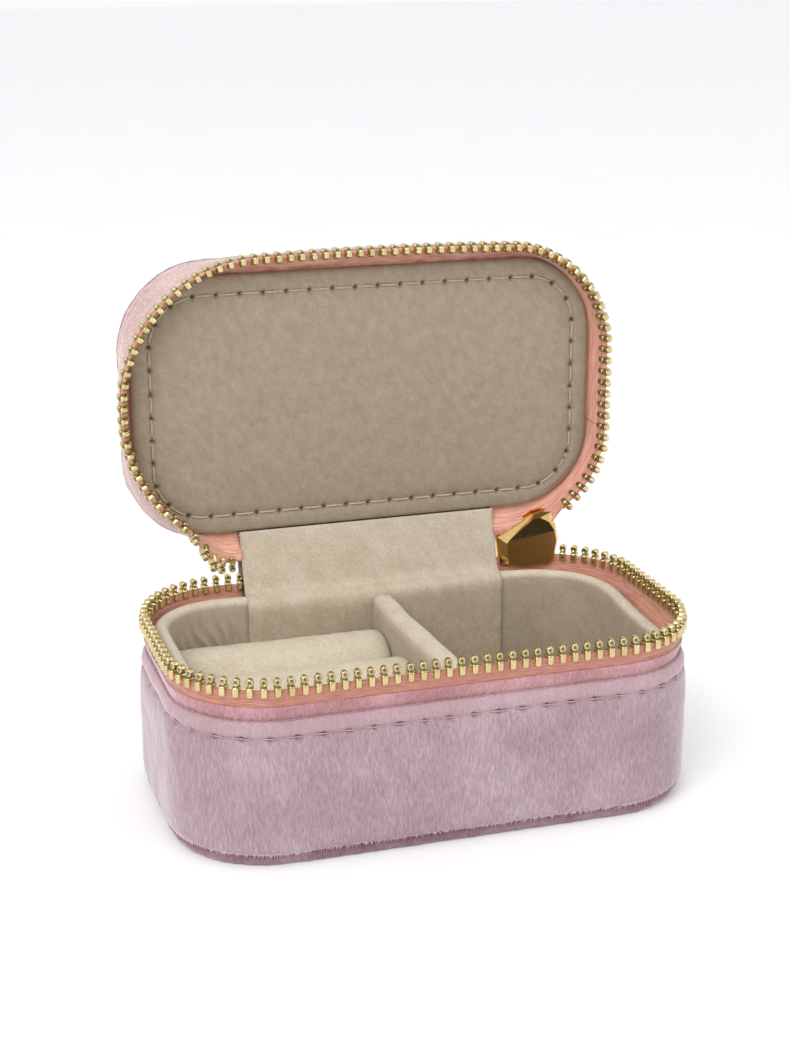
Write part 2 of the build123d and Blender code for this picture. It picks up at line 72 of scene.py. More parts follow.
# %% Sizes and the hinge
def corners_mm(node):
    low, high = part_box(node)
    return low / MM, high / MM


_, velvet_high = corners_mm("base_velvet_cover")
HALF_X, HALF_Y = velvet_high.x, velvet_high.y
HEM_Z = velvet_high.z
CORNER = 18.0
_, teeth_high = corners_mm("base_zip_teeth")
TIP_Z = teeth_high.z
TOOTH = 3.6
ROOT_Z = TIP_Z - TOOTH
hinge = Vector(frame["joints"][0]["pos_m"]) / MM


def when_open(point, share=1.0):
    """Turns a point of the shut lid back to where it is on the open lid, or by a share of that turn."""
    turn = radians(90) * share
    y, z = point[1] - hinge.y, point[2] - hinge.z
    new_y = hinge.y + y * cos(turn) + z * sin(turn)
    new_z = hinge.z - y * sin(turn) + z * cos(turn)
    return Vector((point[0], new_y, new_z))


LID_GAP = 0.25
LID_ROOT_Z = TIP_Z + LID_GAP + TOOTH
_, lid_high = corners_mm("lid_velvet_cover")
LID_TOP_Z = lid_high.y - hinge.y + hinge.z
LID_INSET = HALF_X - lid_high.x
print("half sizes", round(HALF_X, 1), round(HALF_Y, 1), "lid wall inset", round(LID_INSET, 2))

# %% [markdown]
# ## One outline for every layer
# Each layer goes round the box as a loop of points. All loops have the same number of points in each side
# and each corner, so any two of them can be joined by faces, even when their corners have different radii.
# The loop starts in the middle of the back and goes round by the right, so that an open stretch of it,
# such as the zip, is a plain range of numbers.

# %% A loop round the box
HALF_BACK, CORNER_STEPS, SIDE_STEPS, FRONT_STEPS = 58, 54, 38, 116


def loop(inset, radii=(CORNER,) * 4):
    """Points and outward directions round the box; radii are the corners' at the outside wall:
    rear right, front right, front left, rear left."""
    half_x, half_y = HALF_X - inset, HALF_Y - inset
    rear_right, front_right, front_left, rear_left = (max(radius - inset, 0.4) for radius in radii)
    points = []

    def straight(start, end, out, steps):
        for k in range(steps):
            at = k / steps
            points.append((start[0] + (end[0] - start[0]) * at, start[1] + (end[1] - start[1]) * at, *out))

    def corner(x, y, radius, first):
        for k in range(CORNER_STEPS):
            angle = radians(first - 90 * k / CORNER_STEPS)
            out = (cos(angle), sin(angle))
            points.append((x + radius * out[0], y + radius * out[1], *out))

    straight((0, half_y), (half_x - rear_right, half_y), (0, 1), HALF_BACK)
    corner(half_x - rear_right, half_y - rear_right, rear_right, 90)
    straight((half_x, half_y - rear_right), (half_x, front_right - half_y), (1, 0), SIDE_STEPS)
    corner(half_x - front_right, front_right - half_y, front_right, 0)
    straight((half_x - front_right, -half_y), (front_left - half_x, -half_y), (0, -1), FRONT_STEPS)
    corner(front_left - half_x, front_left - half_y, front_left, -90)
    straight((-half_x, front_left - half_y), (-half_x, half_y - rear_left), (-1, 0), SIDE_STEPS)
    corner(rear_left - half_x, half_y - rear_left, rear_left, 180)
    straight((rear_left - half_x, half_y), (0, half_y), (0, 1), HALF_BACK)
    return points


LOOP = len(loop(0))


def smooth(t):
    t = min(max(t, 0.0), 1.0)
    return t * t * (3 - 2 * t)


def distances(points, closed=True):
    """How far along a line each of its points lies, with the whole length last if it is closed."""
    walked = [0.0]
    for a, b in zip(points, points[1:] + points[:1] if closed else points[1:]):
        walked.append(walked[-1] + hypot(b[0] - a[0], b[1] - a[1]))
    return walked


print(LOOP, "points in a loop")

# %% [markdown]
# ## Turning points into pieces
# Every soft piece below is a grid of points: rings that follow the box round, or ribs along a strip. One
# helper joins the grid, another makes the object, gives it its finish, hides the plain imported solid that it
# stands for, and fastens it to its body. A number called shade can be stored on each point, 0 for open cloth
# and 1 for the bottom of a needle hole, and the finishes darken by it: it is painted shade, in the needle
# holes and in other places that lie in shade.

# %% Grids and pieces
def grid_faces(rows, columns, rows_closed=False, columns_closed=False):
    """Faces between neighbouring rows of a grid whose points are numbered row by row."""
    faces = []
    for i in range(rows if rows_closed else rows - 1):
        below = (i + 1) % rows
        for j in range(columns if columns_closed else columns - 1):
            right = (j + 1) % columns
            faces.append((i * columns + j, i * columns + right, below * columns + right, below * columns + j))
    return faces


def end_caps(count, size):
    """The two faces that close a tube of so many points, with size points to a ring."""
    return [tuple(range(size)), tuple(range(count - size, count))]


def make_piece(name, points, faces, finish, body=None, stands_for=(), shades=None):
    """A smooth mesh piece from points in millimetres."""
    mesh = bpy.data.meshes.new(name)
    mesh.from_pydata([Vector(p[:3]) * MM for p in points], [], faces)
    mesh.validate()
    piece = bpy.data.objects.new(name, mesh)
    bpy.context.collection.objects.link(piece)
    turn_faces_outwards(mesh)
    # Everything is shaded smooth but the many-sided ends, which stay flat.
    mesh.polygons.foreach_set("use_smooth", [len(face.vertices) < 5 for face in mesh.polygons])
    if shades is not None:
        shade = mesh.attributes.new("shade", "FLOAT", "POINT")
        shade.data.foreach_set("value", shades)
    mesh.materials.append(finish)
    if stands_for:
        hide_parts(*stands_for)
    if body:
        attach(piece, body)
    print(name, len(mesh.polygons), "faces")
    return piece


def turn_faces_outwards(mesh):
    work = bmesh.new()
    work.from_mesh(mesh)
    bmesh.ops.recalc_face_normals(work, faces=work.faces)
    work.to_mesh(mesh)
    work.free()


def hollow_ring(rings):
    """Points and faces of a closed band: the last ring joins the first."""
    points = [p for ring in rings for p in ring]
    return points, grid_faces(len(rings), LOOP, rows_closed=True, columns_closed=True)


def capped_rings(rings, first_middle, last_middle):
    """Points and faces of a closed body whose first and last rings are filled to a middle point."""
    points = [p for ring in rings for p in ring]
    faces = grid_faces(len(rings), LOOP, columns_closed=True)
    start, end = len(points), len(points) + 1
    points += [first_middle, last_middle]
    last = (len(rings) - 1) * LOOP
    for k in range(LOOP):
        after = (k + 1) % LOOP
        faces.append((start, after, k))
        faces.append((end, last + k, last + after))
    return points, faces


# %% [markdown]
# ## Finishes
# Every finish is made from noise that is fixed to the piece itself, in object coordinates, so it keeps its
# true scale in millimetres. Velvet is a dyed pile: its colour drifts in soft patches, its nap lies in short
# streaks, and its fibre tips catch light at grazing angles, which the sheen of the shader stands for.
# Suede is the same idea with a shorter, rounder mottle. Zip tape is woven in fine ribs.

# %% Helpers for the finishes
def paint(red, green, blue):
    """A colour from the 0 to 255 numbers that a paint chart gives."""
    def channel(value):
        value /= 255
        return value / 12.92 if value <= 0.04045 else ((value + 0.055) / 1.055) ** 2.4

    return (channel(red), channel(green), channel(blue), 1.0)


def grey(level):
    return (level, level, level, 1.0)


class Finish:
    """A material being built: its nodes, its links and its main shader."""

    def __init__(self, name, roughness, metallic=0.0):
        self.material = bpy.data.materials.new(name)
        self.material.use_nodes = True
        self.nodes = self.material.node_tree.nodes
        self.links = self.material.node_tree.links
        self.shader = self.nodes["Principled BSDF"]
        self.shader.inputs["Roughness"].default_value = roughness
        self.shader.inputs["Metallic"].default_value = metallic
        self.place = self.nodes.new("ShaderNodeTexCoord").outputs["Object"]

    def grain(self, per_metre, detail=3.0, roughness=0.55, lean=0.0):
        """Noise with so many cells to the metre along X, Y and Z, leaning by an angle in radians."""
        place = self.place
        if lean:
            turned = self.nodes.new("ShaderNodeMapping")
            turned.inputs["Rotation"].default_value = (lean, lean, 0)
            self.links.new(place, turned.inputs["Vector"])
            place = turned.outputs["Vector"]
        mapping = self.nodes.new("ShaderNodeMapping")
        mapping.inputs["Scale"].default_value = per_metre
        self.links.new(place, mapping.inputs["Vector"])
        texture = self.nodes.new("ShaderNodeTexNoise")
        texture.inputs["Scale"].default_value = 1.0
        texture.inputs["Detail"].default_value = detail
        texture.inputs["Roughness"].default_value = roughness
        self.links.new(mapping.outputs["Vector"], texture.inputs["Vector"])
        return texture.outputs["Fac"]

    def ramp(self, value, *stops):
        """Colours along a value, as (position, colour) pairs."""
        ramp = self.nodes.new("ShaderNodeValToRGB")
        elements = ramp.color_ramp.elements
        while len(elements) < len(stops):
            elements.new(0.5)
        for element, (position, colour) in zip(elements, stops):
            element.position = position
            element.color = colour
        self.links.new(value, ramp.inputs["Fac"])
        return ramp.outputs["Color"]

    def blend_colours(self, share, first, second, way="MIX"):
        mix = self.nodes.new("ShaderNodeMix")
        mix.data_type = "RGBA"
        mix.blend_type = way
        for value, index in ((share, 0), (first, 6), (second, 7)):
            if hasattr(value, "links"):
                self.links.new(value, mix.inputs[index])
            else:
                mix.inputs[index].default_value = value
        return mix.outputs[2]

    def shaded(self, colour, depth):
        """Paints shade: darkens a colour towards a dark colour where the piece's stored shade is high."""
        shade = self.nodes.new("ShaderNodeAttribute")
        shade.attribute_name = "shade"
        return self.blend_colours(shade.outputs["Fac"], colour, depth)

    def above(self, height, share):
        """0 below a height in millimetres, and share from a little above it."""
        split = self.nodes.new("ShaderNodeSeparateXYZ")
        self.links.new(self.place, split.inputs["Vector"])
        ranged = self.nodes.new("ShaderNodeMapRange")
        for name, value in (("From Min", height * MM), ("From Max", (height + 0.7) * MM), ("To Max", share)):
            ranged.inputs[name].default_value = value
        self.links.new(split.outputs["Z"], ranged.inputs["Value"])
        return ranged.outputs["Result"]

    def bump(self, height, strength, distance):
        node = self.nodes.new("ShaderNodeBump")
        node.inputs["Strength"].default_value = strength
        node.inputs["Distance"].default_value = distance * MM
        self.links.new(height, node.inputs["Height"])
        previous = self.shader.inputs["Normal"]
        if previous.links:
            self.links.new(previous.links[0].from_socket, node.inputs["Normal"])
        self.links.new(node.outputs["Normal"], self.shader.inputs["Normal"])

    def colour(self, value):
        self.links.new(value, self.shader.inputs["Base Color"])

    def pile(self, weight, roughness, tint):
        self.shader.inputs["Sheen Weight"].default_value = weight
        self.shader.inputs["Sheen Roughness"].default_value = roughness
        self.shader.inputs["Sheen Tint"].default_value = tint
        self.shader.inputs["Specular IOR Level"].default_value = 0.15


# %% [markdown]
# Velvet comes here in several copies of one cloth, because one cloth looks different wherever its pile lies
# another way: the lid's and the tufts' copies are painted lighter as painted light, the facing's is pinker
# and the bottom's is darker. Two sets of streaks that lean apart a little break up the nap as brushing does.
# The base's hem is folded back, so above the stitches its pile catches more light, and that light is painted
# in as a lighter colour, a painted highlight.

# %% Velvet
STITCH_Z = 23.1  # height of the seam below the base's hem
HEM_HIGHLIGHT_SHARE = 0.38


def velvet(name, dark, middle, light, painted_shade, nap, sheen=0.75, hem=None):
    """Dyed velvet; nap is the grain along X, Y and Z, few cells to the metre along the lie of the pile.
    hem is a lighter colour, a painted highlight for the light the folded pile catches, that is mixed in above
    the seam."""
    finish = Finish(name, 0.95)
    patches = finish.ramp(finish.grain((90, 90, 75), 4.0, 0.6), (0.36, dark), (0.5, middle), (0.64, light))
    cloth = patches
    for lean, strength in ((0.16, 0.5), (-0.12, 0.42)):
        streaks = finish.ramp(finish.grain(nap, 3.0, 0.5, lean), (0.36, grey(0.38)), (0.64, grey(0.62)))
        cloth = finish.blend_colours(strength, cloth, streaks, "OVERLAY")
        finish.bump(finish.grain(nap, 3.0, 0.5, lean), 0.35, 0.15)
    # Painted highlight: above the seam the hem is painted lighter for the light its folded pile catches.
    if hem:
        cloth = finish.blend_colours(finish.above(STITCH_Z, HEM_HIGHLIGHT_SHARE), cloth, hem)
    # Painted shade: the stored shade darkens the cloth towards the given dark colour at needle holes.
    finish.colour(finish.shaded(cloth, painted_shade))
    finish.pile(sheen, 0.4, (1.0, 0.95, 0.96, 1))
    return finish.material


# The main velvet; its hem colour is the painted highlight above the seam.
rose = velvet("velvet_rose", paint(154, 130, 135), paint(161, 137, 142), paint(169, 148, 152),
              paint(70, 42, 48), (3400, 3400, 420), hem=paint(190, 156, 162))
# The tufts' copy is painted lighter, as painted light on lit fibre tips, and has almost no sheen.
rose_tuft_lit = velvet("velvet_tuft", paint(206, 172, 180), paint(216, 184, 191), paint(224, 196, 202),
                   paint(150, 114, 122), (3400, 3400, 420), sheen=0.05)
rose_facing = velvet("velvet_facing", paint(166, 119, 123), paint(177, 131, 135), paint(189, 146, 149),
                     paint(96, 60, 64), (3400, 3400, 380))
rose_base = velvet("velvet_bottom", paint(122, 92, 100), paint(138, 106, 114), paint(152, 122, 128),
                   paint(92, 58, 66), (2600, 2600, 900))
# The lid's copy is painted lighter, as painted light, where its pile lies the other way.
rose_lid_lit = velvet("velvet_lid", paint(190, 160, 156), paint(198, 170, 166), paint(206, 181, 177),
                  paint(110, 70, 74), (3400, 420, 3400))


# %% [markdown]
# The suede is a brushed knit on foam. Its mottle has no direction and its grit is six times finer. The panel,
# the rolls and the strip each have their own tint.

# %% Suede
def suede(name, dark, middle, light, painted_shade, cells=380, sheen=0.15):
    finish = Finish(name, 0.9)
    mottle = finish.ramp(finish.grain((cells, cells * 0.8, cells * 0.6), 5.0, 0.7, 0.6),
                         (0.33, dark), (0.5, middle), (0.67, light))
    grit = finish.ramp(finish.grain((cells * 6,) * 3, 3.0), (0.3, grey(0.43)), (0.7, grey(0.57)))
    # Painted shade: the stored shade darkens the suede towards the given dark colour at needle holes, on the
    # tray's inner walls, low on the divider and low on the strip.
    finish.colour(finish.shaded(finish.blend_colours(0.8, mottle, grit, "OVERLAY"), painted_shade))
    finish.pile(sheen, 0.5, (1.0, 0.97, 0.92, 1))
    finish.bump(finish.grain((cells * 2.5,) * 3, 4.0, 0.65), 0.4, 0.15)
    return finish.material


tray_suede = suede("suede_tray", paint(196, 183, 163), paint(203, 191, 172), paint(210, 199, 181),
                   paint(104, 84, 58))
panel_suede = suede("suede_panel", paint(146, 131, 111), paint(153, 139, 120), paint(160, 147, 129),
                    paint(66, 48, 30), cells=700)
roll_suede = suede("suede_roll", paint(196, 184, 161), paint(203, 192, 170), paint(209, 199, 178),
                   paint(150, 130, 100))
strip_suede = suede("suede_strip", paint(183, 169, 148), paint(190, 177, 157), paint(197, 185, 166),
                    paint(112, 92, 66))


# %% [markdown]
# The tape's ribs run along the zip, so its grain is fine across the tape and long the other two ways. The lid
# stands upright, so there the fine direction is another one, and the lid's tape is painted lighter there for
# the less light it gets. The base tape's outer face darkens by painted shade. The metals are plain mirrors
# with faint wear, and what they show is mostly the room; the teeth darken in their dimples and necks by
# painted shade.

# %% Zip tape, threads and metal
def tape_cloth(name, ribs, dark, middle, light):
    """Woven tape; ribs is its grain along X, Y and Z, with the most cells across the tape."""
    finish = Finish(name, 0.8)
    weave = finish.grain(ribs, 2.0)
    cloth = finish.ramp(weave, (0.3, dark), (0.5, middle), (0.7, light))
    # Painted shade: the tape darkens towards a deep coral where the stored shade is high, on the base tape's
    # outer face.
    finish.colour(finish.shaded(cloth, paint(120, 50, 40)))
    finish.pile(0.4, 0.4, (1.0, 0.85, 0.85, 1))
    finish.bump(weave, 0.6, 0.2)
    return finish.material


def thread(name, dark, light):
    finish = Finish(name, 0.6)
    twist = finish.grain((3000, 3000, 3000), 2.0)
    finish.colour(finish.ramp(twist, (0.35, dark), (0.65, light)))
    finish.bump(twist, 0.5, 0.15)
    return finish.material


def metal(name, dark, light, roughness, scratches):
    finish = Finish(name, roughness, metallic=1.0)
    wear = finish.grain((350, 350, 350), 4.0)
    # Painted shade: the metal darkens towards a dark brass where the stored shade is high, in the teeth's
    # dimples and necks.
    finish.colour(finish.shaded(finish.ramp(wear, (0.3, dark), (0.7, light)), paint(66, 50, 24)))
    finish.bump(finish.grain((1800, 1800, 1800), 3.0), scratches, 0.05)
    return finish.material


coral_tape = tape_cloth("zip_tape_coral", (300, 300, 6000),
                        paint(182, 118, 100), paint(202, 144, 126), paint(220, 170, 150))
# The lid's tape is painted lighter, as painted light, for the less light it gets.
lid_coral_tape_lit = tape_cloth("zip_tape_coral_lid", (300, 6000, 300),
                            paint(196, 134, 114), paint(218, 160, 140), paint(234, 186, 166))
rose_thread = thread("thread_rose", paint(160, 128, 136), paint(184, 154, 160))
cream_thread = thread("thread_cream", paint(164, 150, 124), paint(186, 173, 148))
zip_brass = metal("zip_brass", paint(196, 176, 122), paint(222, 205, 156), 0.22, 0.25)
slider_gold = metal("slider_gold", paint(224, 181, 114), paint(236, 197, 133), 0.1, 0.05)


# %% [markdown]
# Under the covers are grey board and white foam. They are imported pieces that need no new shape, only a
# finish. The same goes for the tray's floor, the rolls' platform, the slider's bridge and the pull tab.

# %% Board and foam, which the covers hide
def plain_stuff(name, dark, light, cells, roughness, depth):
    finish = Finish(name, roughness)
    grain = finish.grain((cells,) * 3, 5.0)
    finish.colour(finish.ramp(grain, (0.35, dark), (0.65, light)))
    finish.bump(grain, 0.4, depth)
    return finish.material


grey_board = plain_stuff("grey_board", paint(140, 132, 120), paint(172, 164, 150), 900, 0.95, 0.1)
white_foam = plain_stuff("white_foam", paint(214, 208, 198), paint(238, 234, 226), 1500, 1.0, 0.3)
for node in ("base_bottom_board", "base_floor_board", "base_frame", "lid_frame", "lid_top_board"):
    frame["nodes"][node].data.materials[0] = grey_board
for node in ("lid_core_foam", "lid_top_padding"):
    frame["nodes"][node].data.materials[0] = white_foam
frame["nodes"]["tray_floor"].data.materials[0] = tray_suede
frame["nodes"]["ring_roll_platform"].data.materials[0] = roll_suede
for node in ("zip_slider_body", "zip_slider_bridge", "pull_tab"):
    frame["nodes"][node].data.materials[0] = slider_gold
print("finishes:", len(bpy.data.materials))

# %% [markdown]
# ## The velvet of the base
# The cover is one strip of velvet glued round the board wall. At the top it is folded over and stitched, so
# the hem stands a little proud between the stitches and the fold, and each needle hole pulls the pile in.
# A lathe-like sweep suits it: one section, carried round the outline, with small changes at each hole.

# %% Needle holes
STITCH_PITCH = 4.38
HOLE_R = 0.62


def even_holes(line):
    """Where evenly spaced needle holes lie along a loop, and how far along each of its points is."""
    walked = distances(line)
    count = round(walked[-1] / STITCH_PITCH)
    return walked, count, walked[-1] / count


def hole_depth(along, across, pitch):
    """1 at a hole and 0 away from it, for a point so far along the seam and across it."""
    off = abs((along + pitch / 2) % pitch - pitch / 2)
    return max(1 - hypot(off, across) / HOLE_R, 0.0)


def fuzz(x, y, z, size, amount):
    """A small push in or out, the same each time for the same place."""
    return noise.noise(Vector((x, y, z)) / size) * amount


def swept_cover(section, radii, seam_z, pull, place=lambda p: p):
    """Rings of a velvet cover: section is a list of (inset, height, nap), and nap is how much it is
    roughened there."""
    seam_line = loop(LID_INSET, radii)
    walked, _, pitch = even_holes(seam_line)
    rings, shades = [], []
    for inset, z, nap in section:
        ring = []
        for k, (x, y, out_x, out_y) in enumerate(loop(inset, radii)):
            painted_shade = hole_depth(walked[k], z - seam_z, pitch) if nap else 0.0
            push = nap * (fuzz(x, y, z, 6.0, 0.22) + fuzz(x, y, z, 1.3, 0.1)) - pull * painted_shade
            ring.append(place((x + out_x * push, y + out_y * push, z + nap * fuzz(y, z, x, 5.0, 0.08))))
            # Painted shade: the depth of each needle hole is stored as shade, which darkens the cloth there.
            shades.append(painted_shade)
        rings.append(ring)
    return rings, shades


# %% [markdown]
# The section starts under the wall, climbs it, dips at the seam, swells over the folded hem and comes down
# behind it. Each of its points says how far in from the outside it lies, how high, and how rough the nap is.

# %% The base's cover
def climb(start, end, steps, nap=1.0):
    """Section points on a straight stretch from one (inset, height) to another, without the last."""
    return [
        (start[0] + (end[0] - start[0]) * i / steps, start[1] + (end[1] - start[1]) * i / steps, nap)
        for i in range(steps)
    ]


base_section = [(0.95, 2.3, 0.6), (0.5, 2.38, 1.0), (0.16, 2.75, 1.0), (0.03, 3.4, 1.0)]
base_section += climb((0.0, 4.0), (0.0, 20.0), 22)
base_section += [(0.05, 20.6, 1), (0.12, 21.2, 1), (0.22, 21.8, 1), (0.36, 22.3, 1), (0.55, 22.7, 1),
                 (0.8, 23.0, 1), (0.82, 23.2, 1), (0.6, 23.5, 1), (0.48, 23.9, 1), (0.46, 24.4, 1),
                 (0.55, 24.9, 1), (0.75, 25.4, 1), (1.05, 25.8, 1), (1.4, 26.0, 1), (1.75, 25.9, 0.5),
                 (2.0, 25.5, 0), (2.0, 20.0, 0), (1.05, 19.8, 0), (1.05, 2.5, 0)]
rings, shades = swept_cover(base_section, (CORNER,) * 4, STITCH_Z, 0.35)
points, faces = hollow_ring(rings)
make_piece("base_velvet_wrap", points, faces, rose, "base", ("base_velvet_cover",), shades)

# %% [markdown]
# Behind the fold a narrow facing of the same velvet is sewn to the tape. It leans out with the tape, and its
# pile is brushed upright, so it looks a little darker and ribbed.

# %% The hem's facing
FACING = [(1.75, 25.4), (1.62, 25.9), (1.5, 26.35), (1.3, 26.9), (1.12, 27.5), (0.98, 28.1), (0.96, 28.35),
          (1.05, 28.5), (1.26, 28.45), (1.48, 27.6), (1.9, 26.4), (2.0, 25.4)]
rings = []
for inset, z in FACING:
    ring = []
    for k, (x, y, out_x, out_y) in enumerate(loop(inset)):
        rib = 0.05 * sin(k * 1.9) + fuzz(x, y, z, 1.2, 0.08)
        ring.append((x + out_x * rib, y + out_y * rib, z + fuzz(x, y, 2, 0.9, 0.12)))
    rings.append(ring)
points, faces = hollow_ring(rings)
make_piece("base_hem_facing", points, faces, rose_facing, "base")

# %% [markdown]
# The underside is a separate velvet-covered panel, glued on last. The band of it that shows below the wall is
# darker and a little ragged.

# %% The bottom panel
BOTTOM = [(20, 0.0), (8, 0.0), (3, 0.0), (1.9, 0.05), (1.25, 0.3), (0.95, 0.8), (0.9, 1.4), (1.05, 1.95),
          (1.4, 2.25), (2.2, 2.3), (2.25, 1.6), (2.6, 0.85), (8, 0.8), (20, 0.8)]
rings = []
for inset, z in BOTTOM:
    rough = 1.0 if inset < 2 else 0.0
    rings.append([
        (x + out_x * rough * (fuzz(x, y, z, 0.8, 0.3) + fuzz(x, y, z, 4, 0.2)),
         y + out_y * rough * (fuzz(y, x, z, 0.8, 0.3) + fuzz(x, y, z, 4, 0.2)),
         max(z + (fuzz(x, z, y, 0.7, 0.22) if 1 < z else 0.0), 0.0))
        for x, y, out_x, out_y in loop(inset)
    ])
points, faces = capped_rings(rings, (0, 0, 0), (0, 0, 0.8))
make_piece("base_bottom_velvet", points, faces, rose_base, "base", ("base_bottom_cover",))

# %% [markdown]
# ## Stitches
# A stitch is a short length of thread that comes up through one needle hole and goes down the next. It is
# made as a thin tube along the seam whose ends dip below the cloth.

# %% Threads
def tube(path, radius, sides=6):
    """Points and faces of a thin closed tube along a path."""
    points, faces = [], []
    for i, spot in enumerate(path):
        before, after = path[max(i - 1, 0)], path[min(i + 1, len(path) - 1)]
        ahead = (Vector(after) - Vector(before)).normalized()
        side = ahead.orthogonal().normalized()
        if abs(ahead.z) < 0.9:
            side = ahead.cross(Vector((0, 0, 1))).normalized()
        up = side.cross(ahead)
        end = 0.45 if i in (0, len(path) - 1) else 1.0
        for j in range(sides):
            angle = 2 * pi * j / sides
            points.append(Vector(spot) + (side * cos(angle) + up * sin(angle)) * radius * end)
    faces = grid_faces(len(path), sides, columns_closed=True)
    faces += end_caps(len(points), sides)
    return points, faces


def joined(parts):
    """Several (points, faces) as one."""
    points, faces = [], []
    for part_points, part_faces in parts:
        shift = len(points)
        points += list(part_points)
        faces += [tuple(index + shift for index in face) for face in part_faces]
    return points, faces


def at_distance(line, walked, along):
    """The point and outward direction at a distance along a closed loop."""
    along %= walked[-1]
    low, high = 0, len(line)
    while high - low > 1:
        middle = (low + high) // 2
        if walked[middle] <= along:
            low = middle
        else:
            high = middle
    a, b = line[low], line[(low + 1) % len(line)]
    step = (along - walked[low]) / max(walked[low + 1] - walked[low], 1e-6)
    return [a[i] + (b[i] - a[i]) * step for i in range(4)]


def seam_threads(line, height, radius, lift, dip, pitch=None, slant=0.0):
    """Threads along a loop: each runs from one hole to the next, lifted off the cloth between them.
    height gives the point for an (x, y, out_x, out_y, lift, slant)."""
    walked = distances(line)
    count = round(walked[-1] / (pitch or STITCH_PITCH))
    pitch = walked[-1] / count
    threads = []
    for i in range(count):
        path = []
        for j in range(9):
            at = j / 8
            bow = lift - (lift + dip) * abs(2 * at - 1) ** 6
            spot = at_distance(line, walked, (i + 0.07 + 0.86 * at) * pitch)
            path.append(height(*spot, bow, slant * (at - 0.5)))
        threads.append(tube(path, radius))
    return joined(threads)


# %% [markdown]
# ## Loose pile at the edges
# Where velvet is cut or folded, its pile stands out in tufts. Each tuft is a tiny three-sided spike from
# the edge, of uneven length and lean. The lower ones hang over the dark seam, and the upper ones blur the
# hem. The same seed draws the same tufts every time.

# %% Tufts of pile
TUFT_HALF, TUFT_DEPTH = 0.13, 0.2


def tufts(count, root, tip, spread, seed):
    """Points and faces of small tufts along the outline; root and tip are (inset, height)."""
    chance = random.Random(seed)
    line = loop(0)
    walked = distances(line)
    points, faces = [], []
    for i in range(count):
        x, y, out_x, out_y = at_distance(line, walked, walked[-1] * (i + chance.random()) / count)
        out = Vector((out_x, out_y, 0))
        along = Vector((-out_y, out_x, 0))
        foot = Vector((x, y, root[1])) - out * root[0]
        head = Vector((x, y, tip[1])) - out * tip[0]
        head = foot.lerp(head, chance.uniform(0.35, 1.0)) + along * chance.uniform(-spread, spread)
        k = len(points)
        points += [foot + along * TUFT_HALF, foot - along * TUFT_HALF, foot - out * TUFT_DEPTH, head]
        faces += [(k, k + 1, k + 3), (k + 1, k + 2, k + 3), (k + 2, k, k + 3), (k, k + 2, k + 1)]
    return points, faces


points, faces = tufts(1900, (0.32, 2.75), (0.62, 1.35), 0.35, 5)
make_piece("base_lower_tufts", points, faces, rose_tuft_lit, "base")
points, faces = tufts(700, (1.15, 25.85), (1.1, 26.6), 0.3, 8)
make_piece("base_hem_tufts", points, faces, rose_facing, "base")


# %% [markdown]
# The base's thread is laid in the dip of the seam, just outside the velvet, and slants a little as running
# stitches do.

# %% The base's stitches
def on_base_wall(x, y, out_x, out_y, lift, slant):
    return (x + out_x * lift, y + out_y * lift, STITCH_Z + slant)


points, faces = seam_threads(loop(0.74), on_base_wall, 0.15, 0.06, 0.45, slant=0.2)
make_piece("base_hem_threads", points, faces, rose_thread, "base", ("base_hem_stitching",))

# %% [markdown]
# ## The tray
# The tray is a band of board wrapped in pale suede, with a soft rounded lip. It was pushed in by hand, so
# its lip is not quite level: it stands a little higher at the left. The suede is stretched round the tight
# rear corners, and shows slanting pulls there.

# %% The tray's wall
TRAY_OUT, TRAY_IN, LIP_Z = 2.75, 5.6, 28.8
LIP_TILT = -0.035


def lip_z(x, y):
    raised = 1.6 * smooth((y + 6) / 24) * smooth(x / 18)
    return LIP_Z + LIP_TILT * x + raised + fuzz(x, y, 0, 14, 0.25)


def pulls(x, y, z):
    """Slanting pulls in the suede at the rear corners of the tray."""
    if y < 8 or z > 27:
        return 0.0
    slant = x * 0.95 + z * 0.35 + fuzz(x, y, z, 6, 1.2)
    corner = smooth((abs(x) - 25) / 3) * smooth((y - 8) / 8) * smooth((27 - z) / 5)
    return corner * (0.42 if x < 0 else 0.04) * sin(slant * 2 * pi / 2.0)


wall_section = [(TRAY_OUT, 4.1), (TRAY_OUT, 12), (TRAY_OUT, 20), (TRAY_OUT, 26.6)]
lip_arc = [(4.15 - 1.4 * cos(radians(a)), 27.3 + 1.5 * sin(radians(a))) for a in range(10, 171, 16)]
inner = [(TRAY_IN - 0.02 + 0.12 * sin(pi * i / 24), 26.2 - (26.2 - 4.1) * i / 24) for i in range(25)]
rings, shades = [], []
for inset, z in wall_section + lip_arc + inner:
    ring = []
    for x, y, out_x, out_y in loop(inset):
        up = (z - 4.1) / (LIP_Z - 4.1)
        height = 4.1 + (lip_z(x, y) - 4.1) * up
        push = fuzz(x, y, z, 5, 0.12) + (pulls(x, y, z) if inset > 5 else 0.0)
        ring.append((x + out_x * push, y + out_y * push, height))
        # Painted shade: the inner walls are darkened below the lip, more so low down, so the lip stays the
        # lightest.
        inside = smooth((inset - 4.9) / 0.6) * smooth((28.6 - z) / 1.2)
        shades.append(inside * (0.46 + 0.12 * smooth((18 - z) / 10)))
    rings.append(ring)
points, faces = hollow_ring(rings)
make_piece("tray_lined_wall", points, faces, tray_suede, "base", ("tray_wall",), shades)

# %% [markdown]
# The divider is a board in a suede sleeve. It was glued in by eye, so it stands a little askew.

# %% The divider
divider_low, divider_high = corners_mm("tray_divider")
DIVIDER_HALF = (divider_high.x - divider_low.x) / 2
CROWN_R = 1.3


def divider_middle(y):
    """Where the divider's middle is at a distance from the back."""
    return 1.0 + 1.6 * smooth((divider_high.y - y) / (divider_high.y - divider_low.y))


